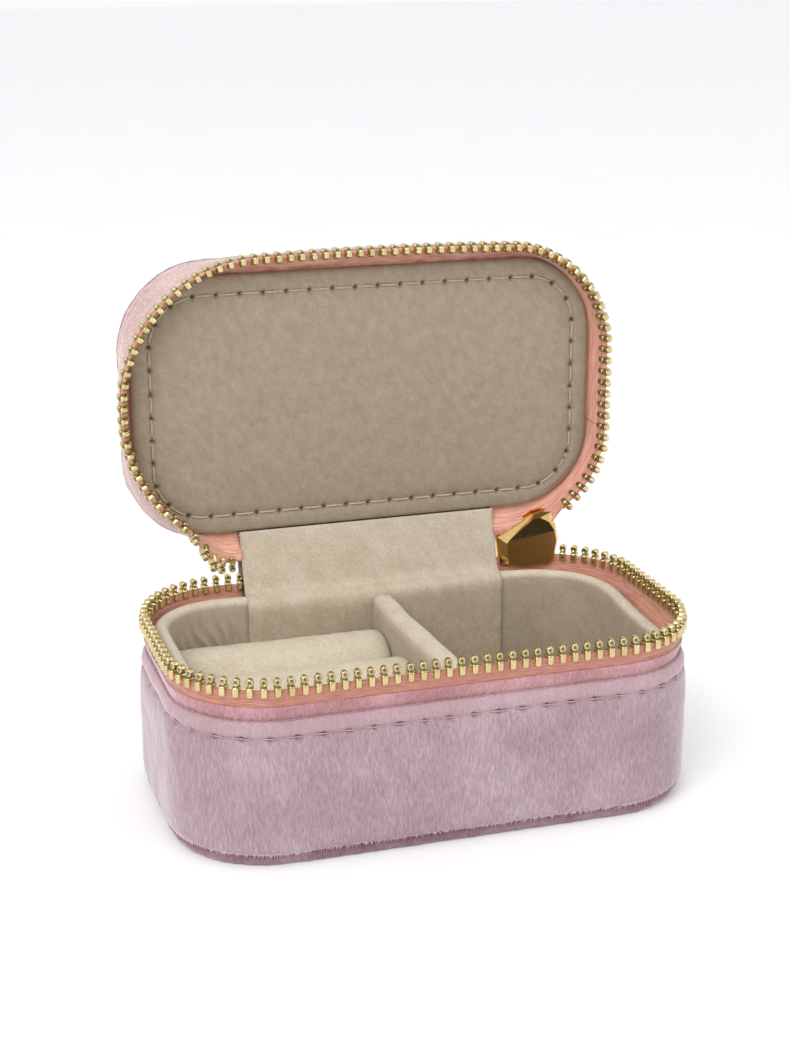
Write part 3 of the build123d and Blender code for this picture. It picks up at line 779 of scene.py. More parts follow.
def divider_outline():
    """Half its section, from the foot up over the rounded top: (offset from the middle, height)."""
    top = divider_high.z
    side = [(DIVIDER_HALF, divider_low.z + (top - 1.6 - divider_low.z) * i / 14) for i in range(15)]
    inner = DIVIDER_HALF - CROWN_R
    crown = [(inner + CROWN_R * cos(radians(a)), top - CROWN_R + CROWN_R * sin(radians(a)))
             for a in (25, 50, 75, 90)]
    right = side + crown
    return right + [(-x, z) for x, z in reversed(right)]


section = divider_outline()
steps = 60
points, shades = [], []
for i in range(steps + 1):
    y = divider_high.y + 0.3 - (divider_high.y - divider_low.y + 0.6) * i / steps
    for x, z in section:
        swell = 1 + 0.04 * sin(pi * i / steps) + fuzz(y, z, x, 5, 0.05)
        points.append((divider_middle(y) + x * swell, y, z + (fuzz(y, x, 3, 8, 0.3) if z > 26 else 0.0)))
        # Painted shade: the divider's sides darken below its top.
        shades.append(0.38 * smooth((27.2 - z) / 1.5))
faces = grid_faces(steps + 1, len(section), columns_closed=True)
faces += end_caps(len(points), len(section))
make_piece("tray_divider_sleeve", points, faces, tray_suede, "base", ("tray_divider",), shades)

# %% [markdown]
# ## Ring rolls
# Three foam rods in ivory suede hold rings between them. Each is a round bar that is a little flat where it
# presses on its neighbours and on the platform. The ends against the divider are rounded over, and the
# ends at the wall are pushed into the round corners of the tray.

# %% The three rolls
def inside_tray(x, y, clear):
    """The nearest point that is inside the tray's wall by a clearance."""
    inset = TRAY_IN + clear
    radius = CORNER - inset
    core_x, core_y = HALF_X - CORNER, HALF_Y - CORNER
    past_x, past_y = max(abs(x) - core_x, 0), max(abs(y) - core_y, 0)
    reach = hypot(past_x, past_y)
    if reach <= radius:
        return x, y
    shrink = radius / reach
    sign_x, sign_y = (1 if x > 0 else -1), (1 if y > 0 else -1)
    new_x = sign_x * (core_x + past_x * shrink) if past_x else x
    new_y = sign_y * (core_y + past_y * shrink) if past_y else y
    return new_x, new_y


def ring_roll(name):
    low, high = corners_mm(f"ring_roll_{name}")
    middle_y, middle_z = (low.y + high.y) / 2, (low.z + high.z) / 2
    if name == "front":
        middle_y = high.y - 7.2
    if name == "rear":
        middle_y = low.y + 7.2
    half, sides, steps = 7.25, 48, 70
    end_x = divider_middle(middle_y) - DIVIDER_HALF - 0.1
    points = []
    for i in range(steps + 1):
        at = i / steps
        x = low.x + 0.4 + (end_x - low.x - 0.4) * (0.5 - 0.5 * cos(pi * at))
        end = 2.6
        over = min(end_x - x, x - low.x) / end
        size = 1 - 0.2 * (1 - sqrt(max(1 - (1 - min(over, 1)) ** 2, 0)))
        for j in range(sides):
            angle = 2 * pi * j / sides
            c, s = cos(angle), sin(angle)
            squeeze = 0.97 if abs(c) > 0.9 else 1.0
            y = middle_y + half * size * c * squeeze + fuzz(x, j, 0, 9, 0.12)
            z = middle_z + half * size * s
            z += fuzz(x, 2.0 * middle_y + 4 * s, 0, 8, 0.3) + fuzz(x, y, s, 2.5, 0.08)
            edge_x, edge_y = inside_tray(x, y, 0.1)
            points.append((edge_x, edge_y, z))
    faces = grid_faces(steps + 1, sides, columns_closed=True)
    faces += end_caps(len(points), sides)
    piece = make_piece(f"ring_roll_{name}_foam", points, faces, roll_suede, "base", (f"ring_roll_{name}",))


for roll in ("front", "middle", "rear"):
    ring_roll(roll)

# %% [markdown]
# ## The zip's tapes
# Each half of the zip is a woven tape that is sewn behind a hem, leans out over it and ends in a bead that
# the teeth grip. The base's tape goes all the way from one end of the zip to the other. It drops out of
# sight inside the slider.

# %% The base's tape
ZIP_END_X = 24.2
TAPE_END_X = 24.5  # just behind the lining strip's edge
slider_low, slider_high = corners_mm("zip_slider_body")


def open_stretch(points_line, end_x):
    """The numbers of the loop points on the zip's side of two ends at the back."""
    return [k for k, (x, y, *_) in enumerate(points_line) if y < 0 or abs(x) >= end_x]


TAPE_SECTION = [  # inset of its outer face, height above the hem, thickness
    (2.05, -5.5, 0.6), (2.05, -3.0, 0.6), (2.02, -1.0, 0.6), (1.95, 0.0, 0.6), (1.75, 0.7, 0.6),
    (1.5, 1.5, 0.6), (1.25, 2.4, 0.6), (1.02, 3.3, 0.6), (0.92, 3.9, 0.62), (0.86, 4.3, 0.7),
    (0.85, 5.2, 0.72), (1.0, 5.45, 0.4)]


def strip_points(columns, section_at):
    """Points and faces of a thin closed strip with one closed section for each column."""
    points = []
    for column in columns:
        points += section_at(column)
    size = len(points) // len(columns)
    faces = grid_faces(len(columns), size, columns_closed=True)
    faces += end_caps(len(points), size)
    return points, faces


ROW_INSET = 1.2
row_loop = loop(ROW_INSET)


def base_tape_section(k):
    x, y, out_x, out_y = row_loop[k]
    hidden = y > 0 and slider_low.x - 0.4 < x < slider_high.x - 0.6
    outer, inner = [], []
    for inset, rise, thick in TAPE_SECTION:
        z = HEM_Z + rise
        if hidden:
            z = min(z, slider_low.z + 0.4)
        ripple = 0.05 * sin(rise * 9)
        for side, depth in ((outer, inset - ripple), (inner, inset + thick)):
            side.append((x + out_x * (ROW_INSET - depth), y + out_y * (ROW_INSET - depth), z))
    return outer + inner[::-1]


columns = open_stretch(row_loop, TAPE_END_X)
points, faces = strip_points(columns, base_tape_section)
OUTER_FACE_PAINTED_SHADE = 0.28  # painted shade on the outer face; the lighter colour left on the inner face is painted light against the shade inside the tray
shades = ([OUTER_FACE_PAINTED_SHADE] * len(TAPE_SECTION) + [0.0] * len(TAPE_SECTION)) * len(columns)
make_piece("base_tape_woven", points, faces, coral_tape, "base", ("base_zip_tape",), shades)

# %% [markdown]
# The lid's tape is the same strip upside down, but it is not as regular. With the lid open, the zip pulls its
# row of teeth tight from the rim down to the end of the zip, so the row cuts its rear corners and turns over
# to meet the base. Beside the hinge the tape's hem edge stays on the lid while its toothed edge stays on the
# base. That stretch is made open, as it is seen.

# %% The line of the lid's teeth
LID_ROW_RADII = (18.0, 20.5, 25.5, 27.2)
LID_HEM_RADII = (19.0, 19.5, 17.5, 18.0)
TURN_LEFT, TURN_RIGHT = (27.0, 37.0), (32.0, 40.0)
FRONT_BULGE = 1.3
BEND_FROM, BEND_OVER = 25.2, 9  # where the left row leaves the base's, and over what length
BACK_CORNER_Y = 9  # the slider's side of the turned tape lies behind this


def turn_share(x, y):
    """How much of the lid's turn a point of its row takes, by how far it is from the end of the zip."""
    if y < 0:
        return 1.0
    start, end = TURN_RIGHT if x > 0 else TURN_LEFT
    return smooth((abs(x) - start) / (end - start))


def bulged(x, y):
    """The soft rim stands out a little in the middle of its front."""
    return x, y - FRONT_BULGE * max(1 - (x / 42) ** 2, 0) * smooth(-y / 20)


def lid_row_line():
    line = []
    base_y = HALF_Y - ROW_INSET
    for x, y, out_x, out_y in loop(ROW_INSET, LID_ROW_RADII):
        if y > 0 and x < 0:
            y = y + (base_y - y) * (1 - smooth((abs(x) - BEND_FROM) / BEND_OVER))
        line.append((*bulged(x, y), out_x, out_y))
    return line


lid_row = lid_row_line()
lid_hem = [(*bulged(x, y), out_x, out_y) for x, y, out_x, out_y in loop(3.0, LID_HEM_RADII)]
lid_shelf = loop(4.3)
PAIR_FROM, PAIR_OVER = 34, 10  # beyond both together, points are paired by number


def beside(line, k):
    """The point of a line that belongs to point k of the lid's row: the one with the same number, and near
    the ends of the zip the one straight behind it."""
    x, y = lid_row[k][:2]
    same = line[k]
    if y < 0 or abs(x) > PAIR_FROM + PAIR_OVER:
        return same
    back = [p for p in line if p[1] > 4 and p[0] * x > 0]
    nearest = min(back, key=lambda p: abs(p[0] - x))
    share = smooth((abs(x) - PAIR_FROM) / PAIR_OVER)
    return [nearest[i] + (same[i] - nearest[i]) * share for i in range(4)]


# %% [markdown]
# Each section of the lid's tape is drawn between two points: the tooth line, which may be turned back only
# part of the way, and the hem, which is always on the lid. Beside the slider the tape steps back a little.

# %% The lid's tape
LID_TAPE_SECTION = [  # share of the way from the teeth to the hem, height above the teeth's roots, thickness
    (0.0, -1.55, 0.4), (0.0, -1.3, 0.72), (0.0, -0.6, 0.7), (0.0, -0.2, 0.62), (0.12, 0.4, 0.6),
    (0.3, 1.1, 0.6), (0.5, 1.9, 0.6), (0.7, 2.7, 0.6), (0.88, 3.4, 0.6), (1.0, 4.0, 0.6), (1.0, 5.2, 0.6)]
HEM_RISE = 4.0  # from the teeth's roots to where the tape is sewn to the hem
STEP_BACK, STEP_END_X, STEP_OVER = 1.4, 39.5, 2.5


def hem_point(k, shift, rise):
    """The point of the open lid's hem beside point k of its row, moved outwards."""
    x, y, out_x, out_y = beside(lid_hem, k)
    return when_open((x + out_x * shift, y + out_y * shift, LID_ROOT_Z + max(rise, HEM_RISE)))


def lid_tape_section(k):
    x, y, out_x, out_y = lid_row[k]
    shelf_x, shelf_y = beside(lid_shelf, k)[:2]
    share = turn_share(x, y)
    near_slider = x > 0 and y > BACK_CORNER_Y
    behind_slider = STEP_BACK * share * smooth((STEP_END_X - x) / STEP_OVER) if near_slider else 0.0
    outer, inner = [], []
    for way, rise, thick in LID_TAPE_SECTION:
        for side, shift in ((outer, thick / 2), (inner, -thick / 2)):
            low = when_open((x + out_x * shift, y + out_y * shift, LID_ROOT_Z + min(rise, 0)), share)
            low.y += behind_slider
            side.append(low.lerp(hem_point(k, shift, rise), way))
    # The tape's inner edge is turned in under the lining panel.
    inner[-2] = when_open((shelf_x, shelf_y, LID_ROOT_Z + 2.95))
    inner[-1] = when_open((shelf_x, shelf_y, LID_ROOT_Z + 3.45))
    return outer + inner[::-1]


columns = open_stretch(lid_row, TAPE_END_X)
left_turn = [k for k in columns if lid_row[k][0] < -TAPE_END_X and lid_row[k][1] > 2]
right_turn = [k for k in columns if lid_row[k][0] > TAPE_END_X and lid_row[k][1] > BACK_CORNER_Y]
rim = [k for k in columns if right_turn[-1] <= k <= left_turn[0]]
points, faces = strip_points(rim, lid_tape_section)
make_piece("lid_tape_woven", points, faces, lid_coral_tape_lit, "lid", ("lid_zip_tape",))


# %% [markdown]
# Outside the tape the lid's hem has its own facing, a soft welt of the lid's velvet that reaches down to the
# teeth. It is drawn in the same two-ended way, and outside the tape by a little.

# %% The lid hem's facing
LID_FACING_OUT = [(1.0, 4.8, 0.8), (0.85, 3.4, 0.95), (0.65, 2.5, 0.98), (0.45, 1.7, 0.9), (0.25, 0.9, 0.78),
                  (0.1, 0.4, 0.66), (0.0, -0.4, 0.55), (0.0, -1.05, 0.5), (0.0, -1.3, 0.42)]
LID_FACING_IN = [(0.0, -1.05, 0.37), (0.0, -0.2, 0.37), (0.25, 0.9, 0.35), (0.5, 1.9, 0.33),
                 (0.75, 2.9, 0.33), (1.0, 4.8, 0.33)]


def lid_facing_section(k):
    x, y, out_x, out_y = lid_row[k]
    section = []
    for way, rise, shift in LID_FACING_OUT + LID_FACING_IN:
        shift += fuzz(x, y, rise, 1.2, 0.1) if shift > 0.6 else 0.0
        low = when_open((x + out_x * shift, y + out_y * shift, LID_ROOT_Z + min(rise, 0)), turn_share(x, y))
        section.append(low.lerp(hem_point(k, shift, rise), way))
    return section


points, faces = strip_points(rim, lid_facing_section)
make_piece("lid_hem_facing", points, faces, rose_lid_lit, "lid")


# %% [markdown]
# The two stretches beside the hinge belong to both halves. They are separate pieces whose points follow the
# base near the end of the zip and the lid beyond it, with a smooth turn between.


FACING_END_X = {"left": 27.5, "right": 38.2}
for side, columns, start, slope in (
    ("left", left_turn, (-27.0, 26.3, 37.45), (-0.2, 0.28, 0.04)),
    ("right", right_turn, (34.0, 25.7, 37.45), (0.215, 0.22, 0.05)),
):
    points, faces = strip_points(columns, lid_tape_section)
    piece = make_piece(f"turned_tape_{side}", points, faces, lid_coral_tape_lit, None,
                       (f"zip_turn_tape_{side}",))
    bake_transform(piece)
    clear = [k for k in columns if abs(lid_row[k][0]) > FACING_END_X[side]]
    points, faces = strip_points(clear, lid_facing_section)
    piece = make_piece(f"turned_facing_{side}", points, faces, rose_lid_lit, None)
    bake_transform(piece)

# %% [markdown]
# ## The zip's teeth
# A metal zip tooth is stamped from wire: two legs are squeezed onto the bead of the tape, and above them a
# narrow neck carries a round head with a dimple, where the next tooth's nib would sit. One tooth is lofted
# from rounded sections, then set out along each row at an even pitch.

# %% One tooth
TOOTH_RINGS = [  # height, half width along the row, half depth across it, squareness of the section
    (0.4, 0.44, 0.86, 5), (0.5, 0.54, 0.97, 5), (0.7, 0.58, 1.0, 5), (1.8, 0.58, 1.0, 5),
    (2.02, 0.54, 0.96, 5), (2.12, 0.44, 0.8, 4), (2.2, 0.4, 0.6, 4), (2.32, 0.44, 0.6, 4),
    (2.46, 0.54, 0.62, 4), (2.64, 0.62, 0.64, 4), (2.86, 0.66, 0.65, 4), (3.08, 0.62, 0.64, 4),
    (3.28, 0.51, 0.62, 4), (3.44, 0.34, 0.58, 4), (3.54, 0.15, 0.46, 3)]
TOOTH_SIDES = 24
HEAD_Z = 2.86
# Painted shade: each tooth's dimple and neck are darkened by these shade values.
DIMPLE_R, DIMPLE_DEPTH, DIMPLE_SHADE = 0.42, 0.34, 0.85
NECK_LOW, NECK_HIGH, NECK_SHADE = 2.05, 2.4, 0.75


def tooth_template():
    points, shades = [], []
    for z, half_x, half_y, square in TOOTH_RINGS:
        for j in range(TOOTH_SIDES):
            angle = 2 * pi * (j + 0.5) / TOOTH_SIDES
            c, s = cos(angle), sin(angle)
            reach = (abs(c) ** square + abs(s) ** square) ** (-1 / square)
            x, y = half_x * c * reach, half_y * s * reach
            dimple = smooth(max(1.25 - hypot(x / DIMPLE_R, (z - HEAD_Z) / DIMPLE_R), 0.0))
            points.append((x, y - (1 if y > 0 else -1) * DIMPLE_DEPTH * dimple, z))
            shades.append(max(DIMPLE_SHADE * dimple, NECK_SHADE if NECK_LOW < z < NECK_HIGH else 0.0))
    faces = grid_faces(len(TOOTH_RINGS), TOOTH_SIDES, columns_closed=True)
    faces += end_caps(len(points), TOOTH_SIDES)
    return points, faces, shades


tooth_points, tooth_faces, tooth_shades = tooth_template()
TOOTH_PLACES = 95


def places_along(line, shift, count):
    """Evenly spaced places on the zip's line: (x, y, direction along it, direction out of the box)."""
    stretch = [line[k] for k in open_stretch(line, ZIP_END_X)]
    walked = distances(stretch, closed=False)
    spots = []
    k = 0
    for i in range(count):
        along = walked[-1] * (i + shift) / TOOTH_PLACES
        while k < len(stretch) - 2 and walked[k + 1] < along:
            k += 1
        a, b = stretch[k], stretch[k + 1]
        step = (along - walked[k]) / max(walked[k + 1] - walked[k], 1e-6)
        ahead = Vector((b[0] - a[0], b[1] - a[1], 0)).normalized()
        out = Vector((-ahead.y, ahead.x, 0))
        spots.append((a[0] + (b[0] - a[0]) * step, a[1] + (b[1] - a[1]) * step, ahead, out))
    return spots


def in_slider(x, y):
    return y > 0 and 0 < x < slider_high.x + 0.5


def row_of_teeth(spots, root_z, up, place=lambda p, share: p, share_at=lambda x, y: 0.0):
    points, faces, shades = [], [], []
    for i, (x, y, ahead, out) in enumerate(spots):
        share = share_at(x, y)
        lean = radians(3) * noise.noise(Vector((i * 1.7, root_z, 0)))
        shift = len(points)
        for px, py, pz in tooth_points:
            px, pz = px * cos(lean) - pz * sin(lean), px * sin(lean) + pz * cos(lean)
            spot = Vector((x, y, root_z)) + ahead * px + out * py + Vector((0, 0, up * pz))
            points.append(place(spot, share))
        faces += [tuple(index + shift for index in face) for face in tooth_faces]
        shades += tooth_shades
    return points, faces, shades


# %% [markdown]
# The base has one row. The lid's row is in three pieces, like its tape: the rim, and a turned stretch at each
# end whose teeth lean over by their share of the lid's turn. No teeth are set inside the slider.

# %% Both rows
base_spots = [s for s in places_along(row_loop, 0.5, TOOTH_PLACES) if not in_slider(s[0], s[1])]
points, faces, shades = row_of_teeth(base_spots, ROOT_Z, 1)
make_piece("base_teeth_row", points, faces, zip_brass, "base", ("base_zip_teeth",), shades)

rows = {"lid": [], "left": [], "right": []}
for spot in places_along(lid_row, 1.0, TOOTH_PLACES - 1):
    if in_slider(spot[0], spot[1]):
        continue
    turned = turn_share(spot[0], spot[1]) < 1
    rows[("left" if spot[0] < 0 else "right") if turned else "lid"].append(spot)

points, faces, shades = row_of_teeth(rows["lid"], LID_ROOT_Z, -1, when_open, turn_share)
make_piece("lid_teeth_row", points, faces, zip_brass, "lid", ("lid_zip_teeth",), shades)
for side, sign, (start, end) in (("left", -1, TURN_LEFT), ("right", 1, TURN_RIGHT)):
    points, faces, shades = row_of_teeth(rows[side], LID_ROOT_Z, -1, when_open, turn_share)
    piece = make_piece(f"turned_teeth_{side}", points, faces, zip_brass, None, (f"zip_turn_teeth_{side}",),
                       shades)
    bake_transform(piece)
print({name: len(spots) for name, spots in rows.items()}, "teeth on the lid;", len(base_spots), "on the base")

# %% [markdown]
# ## The slider
# The slider is cast and polished: two plates joined by a core, with the channel for the teeth between them.
# The plate that faces the inside has a bevelled rim and a roof-like face, so its upper facet mirrors
# something else than its lower one.

# %% The slider's body
SLIDER_X = (slider_low.x + slider_high.x) / 2
slider_row = min((p for p in row_loop if p[1] > 0), key=lambda p: abs(p[0] - SLIDER_X))
RIM = [(-6.3, 35.6), (-4.5, 36.5), (0.9, 39.95), (2.4, 40.35), (4.3, 40.2), (5.3, 37.6),
       (5.9, 34.6), (5.2, 30.6), (4.4, 29.6), (3.4, 29.4), (-4.4, 29.4), (-5.6, 29.7)]
ROOF = [(-4.45, 34.4), (-4.1, 34.9), (0.7, 38.8), (2.2, 39.1), (3.9, 38.3), (4.95, 36.65)]  # the upper facet
LOWER = [(5.35, 34.5), (4.75, 31.0), (4.1, 30.0), (3.2, 29.85), (-3.3, 29.85), (-4.0, 30.2)]
FRONT_Y, ROOF_SLOPE = -1.95, 0.27


def on_slider(x, y, z):
    """A place on the slider: along the zip, out of the box, height."""
    row_x, row_y, out_x, out_y = slider_row
    return Vector((row_x + out_y * x + out_x * y, row_y - out_x * x + out_y * y, z))


def roof_y(x, z):
    ridge = 35.5 + 0.24 * x
    return FRONT_Y + ROOF_SLOPE * max(z - ridge, 0)


def rim_ring(y, size):
    return [on_slider(0.3 + (x - 0.3) * size, y, 34.6 + (z - 34.6) * size) for x, z in RIM]


rings = [[on_slider(x, roof_y(x, z), z) for x, z in ROOF + LOWER]]
rings += [rim_ring(y, size) for y, size in (
    (-1.15, 0.99), (-1.0, 1.0), (-0.8, 0.98), (-0.75, 0.88), (0.75, 0.88), (0.8, 0.98),
    (1.0, 1.0), (1.75, 1.0), (1.95, 0.96))]
points = [p for ring in rings for p in ring]
size = len(RIM)
faces = grid_faces(len(rings), size, columns_closed=True)
faces.append(tuple(range(len(ROOF))))
faces.append(tuple(range(len(ROOF) - 1, size)) + (0,))
faces.append(tuple(range(len(points) - size, len(points))))
slider = make_piece("slider_polished", points, faces, slider_gold, "base", ("zip_slider_body",))
for polygon in slider.data.polygons:
    polygon.use_smooth = False

# %% [markdown]
# ## The lid
# The lid is a shallow padded tray of board in the same velvet, painted lighter as painted light where its
# pile lies the other way.
# Its edge is rounded over foam, and its hem is stitched like the base's. It is shaped as if shut, and each
# of its points is then turned back about the hinge.

# %% The lid's cover
LID_STITCH_Z = 44.3
LID_UNDER_Z = 48.0  # the cover's inner face
lid_section = [(16, LID_TOP_Z, 1), (11, LID_TOP_Z - 0.02, 1), (8, LID_TOP_Z - 0.15, 1)]
lid_section += [(6.9 - 4.9 * sin(radians(a)), LID_TOP_Z - 5.0 + 4.8 * cos(radians(a)), 1)
                for a in range(5, 86, 8)]
lid_section += [(1.98, 44.9, 1), (2.15, 44.5, 1), (2.3, 44.3, 1), (2.15, 44.05, 1), (1.95, 43.6, 1),
                (1.85, 43.0, 1), (1.85, 42.4, 1), (1.95, 41.9, 1), (2.15, 41.6, 1), (2.4, 41.45, 1),
                (2.65, 41.6, 0.5), (2.7, 42.2, 0), (2.72, 44.0, 0), (3.3, 46.0, 0), (4.6, 47.4, 0),
                (6.8, LID_UNDER_Z, 0), (12, LID_UNDER_Z, 0)]


def on_open_lid(point):
    return when_open((*bulged(point[0], point[1]), point[2]))


rings, shades = swept_cover(lid_section, LID_HEM_RADII, LID_STITCH_Z, 0.3, on_open_lid)
points, faces = capped_rings(rings, when_open((0, 0, LID_TOP_Z)), when_open((0, 0, LID_UNDER_Z)))
make_piece("lid_velvet_wrap", points, faces, rose_lid_lit, "lid", ("lid_velvet_cover",),
           shades + [0.0, 0.0])


# %% [markdown]
# The lid's thread runs in the groove of its seam, in the same way as the base's.

# %% The lid's stitches
def on_lid_wall(x, y, out_x, out_y, lift, slant):
    return on_open_lid((x + out_x * lift, y + out_y * lift, LID_STITCH_Z + slant))


points, faces = seam_threads(loop(2.2, LID_HEM_RADII), on_lid_wall, 0.2, 0.12, 0.45, slant=0.12)
make_piece("lid_hem_threads", points, faces, rose_thread, "lid", ("lid_hem_stitching",))

# %% [markdown]
# The lining panel is suede over thin foam and board. A rectangle of long stitches holds it, and sinks it a
# little, so that the middle stands up like a flat pillow. The face is left plain.

# %% The lining panel
panel_low, panel_high = corners_mm("lid_lining_panel")
PANEL_Z = panel_low.y - hinge.y + hinge.z
PANEL_BACK_Z = panel_high.y - hinge.y + hinge.z
PANEL_INSET = HALF_X - panel_high.x
SEAM_INSET = 6.85
PANEL_RADII = (16.2,) * 4
PANEL_PITCH = 4.35
PILLOW = 0.38  # how far the middle stands proud
EDGE_STEPS = [(-0.05, 0.9), (0.1, 0.45), (0.45, 0.12), (1.0, 0.0), (1.7, -0.04)]
SEAM_STEPS = [(-1.2, -0.02), (-0.8, 0.04), (-0.4, 0.14), (-0.15, 0.24), (0, 0.27), (0.15, 0.24),
              (0.4, 0.12), (0.9, -0.02), (1.6, -0.14), (2.6, -0.24), (4.2, -0.32)]
panel_section = [(PANEL_INSET + 6, PANEL_BACK_Z), (PANEL_INSET + 0.3, PANEL_BACK_Z),
                 (PANEL_INSET, PANEL_BACK_Z - 0.3)]
panel_section += [(PANEL_INSET + across, PANEL_Z + sunk) for across, sunk in EDGE_STEPS]
panel_section += [(SEAM_INSET + across, PANEL_Z + sunk) for across, sunk in SEAM_STEPS]
panel_section += [(inset, PANEL_Z - PILLOW) for inset in (13, 15, 17, 19, 21, 23, 25)]
seam_line = loop(SEAM_INSET, PANEL_RADII)
walked = distances(seam_line)
panel_count = round(walked[-1] / PANEL_PITCH)
panel_pitch = walked[-1] / panel_count
rings, shades = [], []
for inset, z in panel_section:
    ring = []
    radii = PANEL_RADII if inset > PANEL_INSET + 1.2 else (CORNER - 0.2,) * 4
    for k, (x, y, out_x, out_y) in enumerate(loop(inset, radii)):
        painted_shade = hole_depth(walked[k], inset - SEAM_INSET, panel_pitch) if z < PANEL_BACK_Z - 0.5 else 0.0
        soft = fuzz(x, y, 7, 7, 0.14) + fuzz(x, y, 3, 2.2, 0.05) if z < PANEL_Z + 0.4 else 0.0
        ring.append(when_open((x, y, z + soft + 0.35 * painted_shade)))
        # Painted shade: the needle holes are darkened by their depth, stored as shade.
        shades.append(min(painted_shade * 1.5, 1.0))
    rings.append(ring)
points, faces = capped_rings(rings, when_open((0, 0, PANEL_BACK_Z)), when_open((0, 0, PANEL_Z - PILLOW)))
panel = make_piece("lid_panel_padded", points, faces, panel_suede, "lid", ("lid_lining_panel",),
                   shades + [0.0, 0.0])


def on_panel(x, y, out_x, out_y, lift, slant):
    return when_open((x + out_x * slant, y + out_y * slant, PANEL_Z + 0.22 - lift))


points, faces = seam_threads(seam_line, on_panel, 0.2, 0.14, 0.45, pitch=PANEL_PITCH)
make_piece("lid_panel_threads", points, faces, cream_thread, "lid", ("lid_panel_stitching",))

# %% [markdown]
# ## The hinge
# No metal holds the lid: the velvet goes on from the base to the lid behind, and a strip of suede covers the
# joint inside. Both are thin sheets. The strip starts on the tray's floor, goes up the back wall, turns over
# the lip and runs taut to the foot of the lining panel.

# %% The lining strip
lining_low, lining_high = corners_mm("hinge_lining")
flap_low, flap_high = corners_mm("hinge_lining_flap")
STRIP_HALF = lining_high.x
STRIP = 0.5


def sheet_points(line, half_width, thick, columns, ripple):
    """A thin closed sheet that follows a line of (y, z) and is straight across."""
    rows = []
    for i, (y, z) in enumerate(line):
        before, after = line[max(i - 1, 0)], line[min(i + 1, len(line) - 1)]
        ahead = Vector((0, after[0] - before[0], after[1] - before[1])).normalized()
        rows.append((Vector((0, y, z)), Vector((0, ahead.z, -ahead.y))))
    points = []
    for spot, out in rows:
        for side in (0, 1):
            for j in range(columns + 1):
                x = half_width * (2 * (j if side == 0 else columns - j) / columns - 1)
                points.append(spot + Vector((x, 0, 0)) + out * (side * thick + ripple(x, spot)))
    size = 2 * (columns + 1)
    faces = grid_faces(len(rows), size, columns_closed=True)
    faces += end_caps(len(points), size)
    return points, faces


def evenly(line, step):
    """The same line with points at an even, small step."""
    out = [line[0]]
    for a, b in zip(line, line[1:]):
        count = max(ceil(hypot(b[0] - a[0], b[1] - a[1]) / step), 1)
        for i in range(1, count + 1):
            out.append((a[0] + (b[0] - a[0]) * i / count, a[1] + (b[1] - a[1]) * i / count))
    return out


def rounded(line, passes=6):
    """Softens the bends of an even line and keeps its ends."""
    for _ in range(passes):
        between = [
            tuple(0.25 * a[i] + 0.5 * b[i] + 0.25 * c[i] for i in (0, 1))
            for a, b, c in zip(line, line[1:], line[2:])
        ]
        line = [line[0], *between, line[-1]]
    return line


strip_line = rounded(evenly([
    (lining_low.y, lining_low.z), (lining_low.y, LIP_Z + 0.2), (flap_low.y - 1.6, LIP_Z + 0.9),
    (flap_low.y, flap_low.z + 0.6), (flap_high.y - STRIP, flap_high.z)], 0.6), 4)
points, faces = sheet_points(strip_line, STRIP_HALF, STRIP, 90,
                             lambda x, spot: fuzz(x, 0, spot.z, 9, 0.16) + fuzz(x, 5, spot.z, 3, 0.04))
# Painted shade: the strip darkens below the tray's lip.
shades = [0.26 * smooth((LIP_Z - p.z) / 3) for p in points]
strip = make_piece("hinge_strip_suede", points, faces, strip_suede, None,
                   ("hinge_lining", "hinge_lining_flap"), shades)
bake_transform(strip)

# %% [markdown]
# Outside, the velvet crosses from the base's hem to the lid's in one short slope. It is wider than the strip
# by a hair, so that the strip's edges are backed.

# %% The velvet behind the hinge
back_low, back_high = corners_mm("hinge_velvet")
BACK_SKIN = 0.8
back_line = rounded(evenly([
    (back_low.y + 0.1, back_low.z - 0.2), (back_low.y + 0.6, back_low.z + 4),
    (back_high.y - 1.4, back_high.z - 4.5), (back_high.y, back_high.z - BACK_SKIN)], 0.5), 8)
BACK_HALF = back_high.x - 1.2
points, faces = sheet_points(back_line, BACK_HALF, BACK_SKIN, 100,
                             lambda x, spot: fuzz(x, 1, spot.z, 6, 0.2) + fuzz(x, 5, spot.z, 1.3, 0.08))
behind = make_piece("hinge_velvet_sheet", points, faces, rose, None, ("hinge_velvet",))
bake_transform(behind)

# %% [markdown]
# ## Table, light and camera
# A product shot on white: a pale table, a bright even surround, one broad soft light from the upper left and
# a weaker one from the right. The camera looks slightly down at the open front.

# %% The table
FAR = 3.0


def flat_sheet(name, corners):
    """A single face for the stage, with its corners in metres."""
    mesh = bpy.data.meshes.new(name)
    mesh.from_pydata(corners, [], [(0, 1, 2, 3)])
    sheet = bpy.data.objects.new(name, mesh)
    bpy.context.collection.objects.link(sheet)
    return sheet


table = flat_sheet("table", [(-FAR, -FAR, 0), (FAR, -FAR, 0), (FAR, FAR, 0), (-FAR, FAR, 0)])
white = Finish("table_white", 0.6)
cloud = white.grain((30, 30, 30), 2.0)
white.colour(white.ramp(cloud, (0.3, (0.93, 0.93, 0.94, 1)), (0.7, (0.95, 0.95, 0.955, 1))))
table.data.materials.append(white.material)

# %% [markdown]
# Polished metal looks flat in a white room. Studios hold a dark card where the metal mirrors it. This one is
# seen only in reflections: it darkens no cloth and throws no shadow.

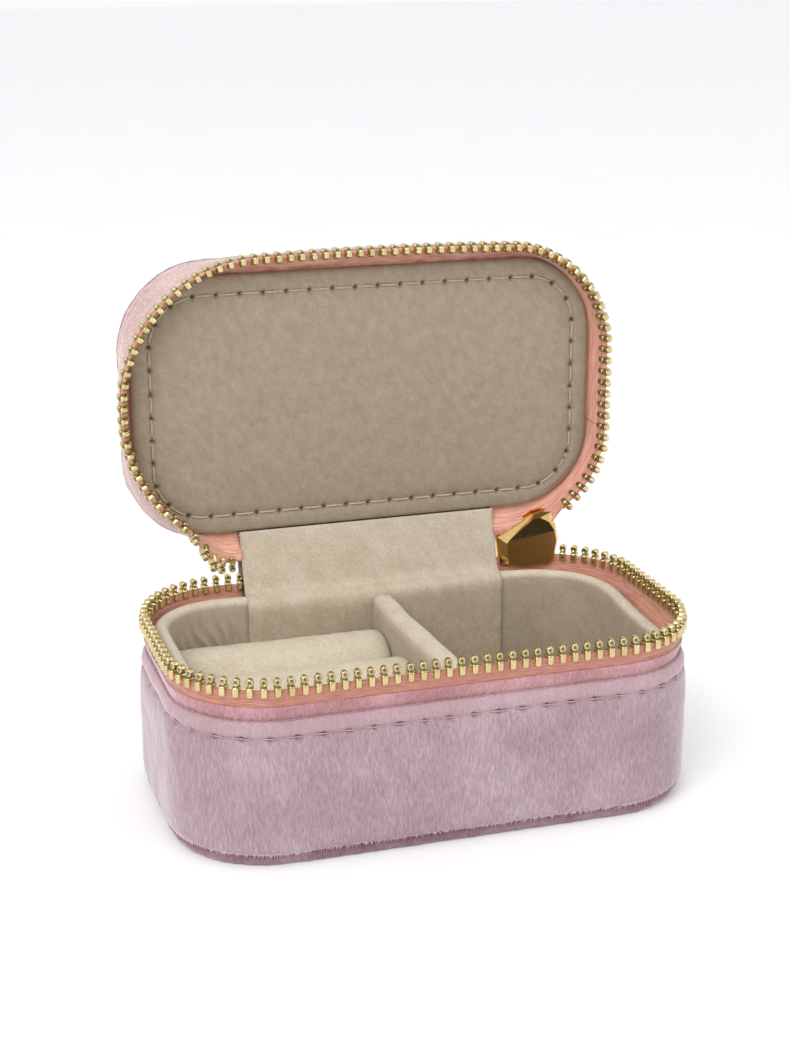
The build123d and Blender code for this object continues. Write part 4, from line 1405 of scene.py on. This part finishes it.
# %% A dark card
CARD_LEFT, CARD_RIGHT, CARD_Y, CARD_LOW, CARD_HIGH = -0.12, 0.24, -0.56, 0.115, 0.24
card = flat_sheet("dark_card", [(CARD_LEFT, CARD_Y, CARD_LOW), (CARD_RIGHT, CARD_Y, CARD_LOW),
                                (CARD_RIGHT, CARD_Y, CARD_HIGH), (CARD_LEFT, CARD_Y, CARD_HIGH)])
black = Finish("card_black", 0.9)
black.shader.inputs["Base Color"].default_value = (0.01, 0.009, 0.008, 1)
card.data.materials.append(black.material)
card.visible_camera = False
card.visible_diffuse = False
card.visible_shadow = False

# %% [markdown]
# The room itself gives most of the light, cool and even. The key lamp models the folds and the fill keeps the
# right side open.

# %% Lights
world = bpy.data.worlds.new("white_room")
bpy.context.scene.world = world
world.use_nodes = True
room = world.node_tree.nodes["Background"]
room.inputs["Color"].default_value = (0.97, 0.985, 1.0, 1)
room.inputs["Strength"].default_value = 0.98


def soft_light(name, place, aim, size, watts):
    light = bpy.data.lights.new(name, "AREA")
    light.size = size
    light.energy = watts
    lamp = bpy.data.objects.new(name, light)
    lamp.location = place
    lamp.rotation_euler = (Vector(aim) - Vector(place)).to_track_quat("-Z", "Y").to_euler()
    bpy.context.collection.objects.link(lamp)


soft_light("key", (-0.55, -0.5, 0.75), (0, 0, 0.04), 0.6, 5.0)
soft_light("fill", (0.7, -0.6, 0.5), (0, 0, 0.04), 0.5, 1.2)

# %% [markdown]
# The camera stands a little to the left and above, far enough away that the box keeps its proportions. Its
# direction, distance and aim are plain numbers in degrees and millimetres.

# %% Camera
AZIMUTH, ELEVATION, ROLL = radians(-17.366), radians(17.526), radians(-0.133)
AWAY = 337.589
AIM = Vector((-3.252, 0.0, 49.562))
back = Vector((sin(AZIMUTH) * cos(ELEVATION), -cos(AZIMUTH) * cos(ELEVATION), sin(ELEVATION)))
right = Vector((cos(AZIMUTH), sin(AZIMUTH), 0))
up = back.cross(right)
right, up = right * cos(ROLL) + up * sin(ROLL), up * cos(ROLL) - right * sin(ROLL)
lens = bpy.data.cameras.new("camera")
lens.sensor_fit = "VERTICAL"
lens.sensor_height = 36.0
lens.lens = 66.68
lens.clip_start = 0.01
camera = bpy.data.objects.new("camera", lens)
turn = Matrix((right, up, back)).transposed().to_4x4()
camera.matrix_world = Matrix.Translation((AIM + back * AWAY) * MM) @ turn
bpy.context.collection.objects.link(camera)
bpy.context.scene.camera = camera
bpy.context.scene.view_settings.view_transform = "Standard"
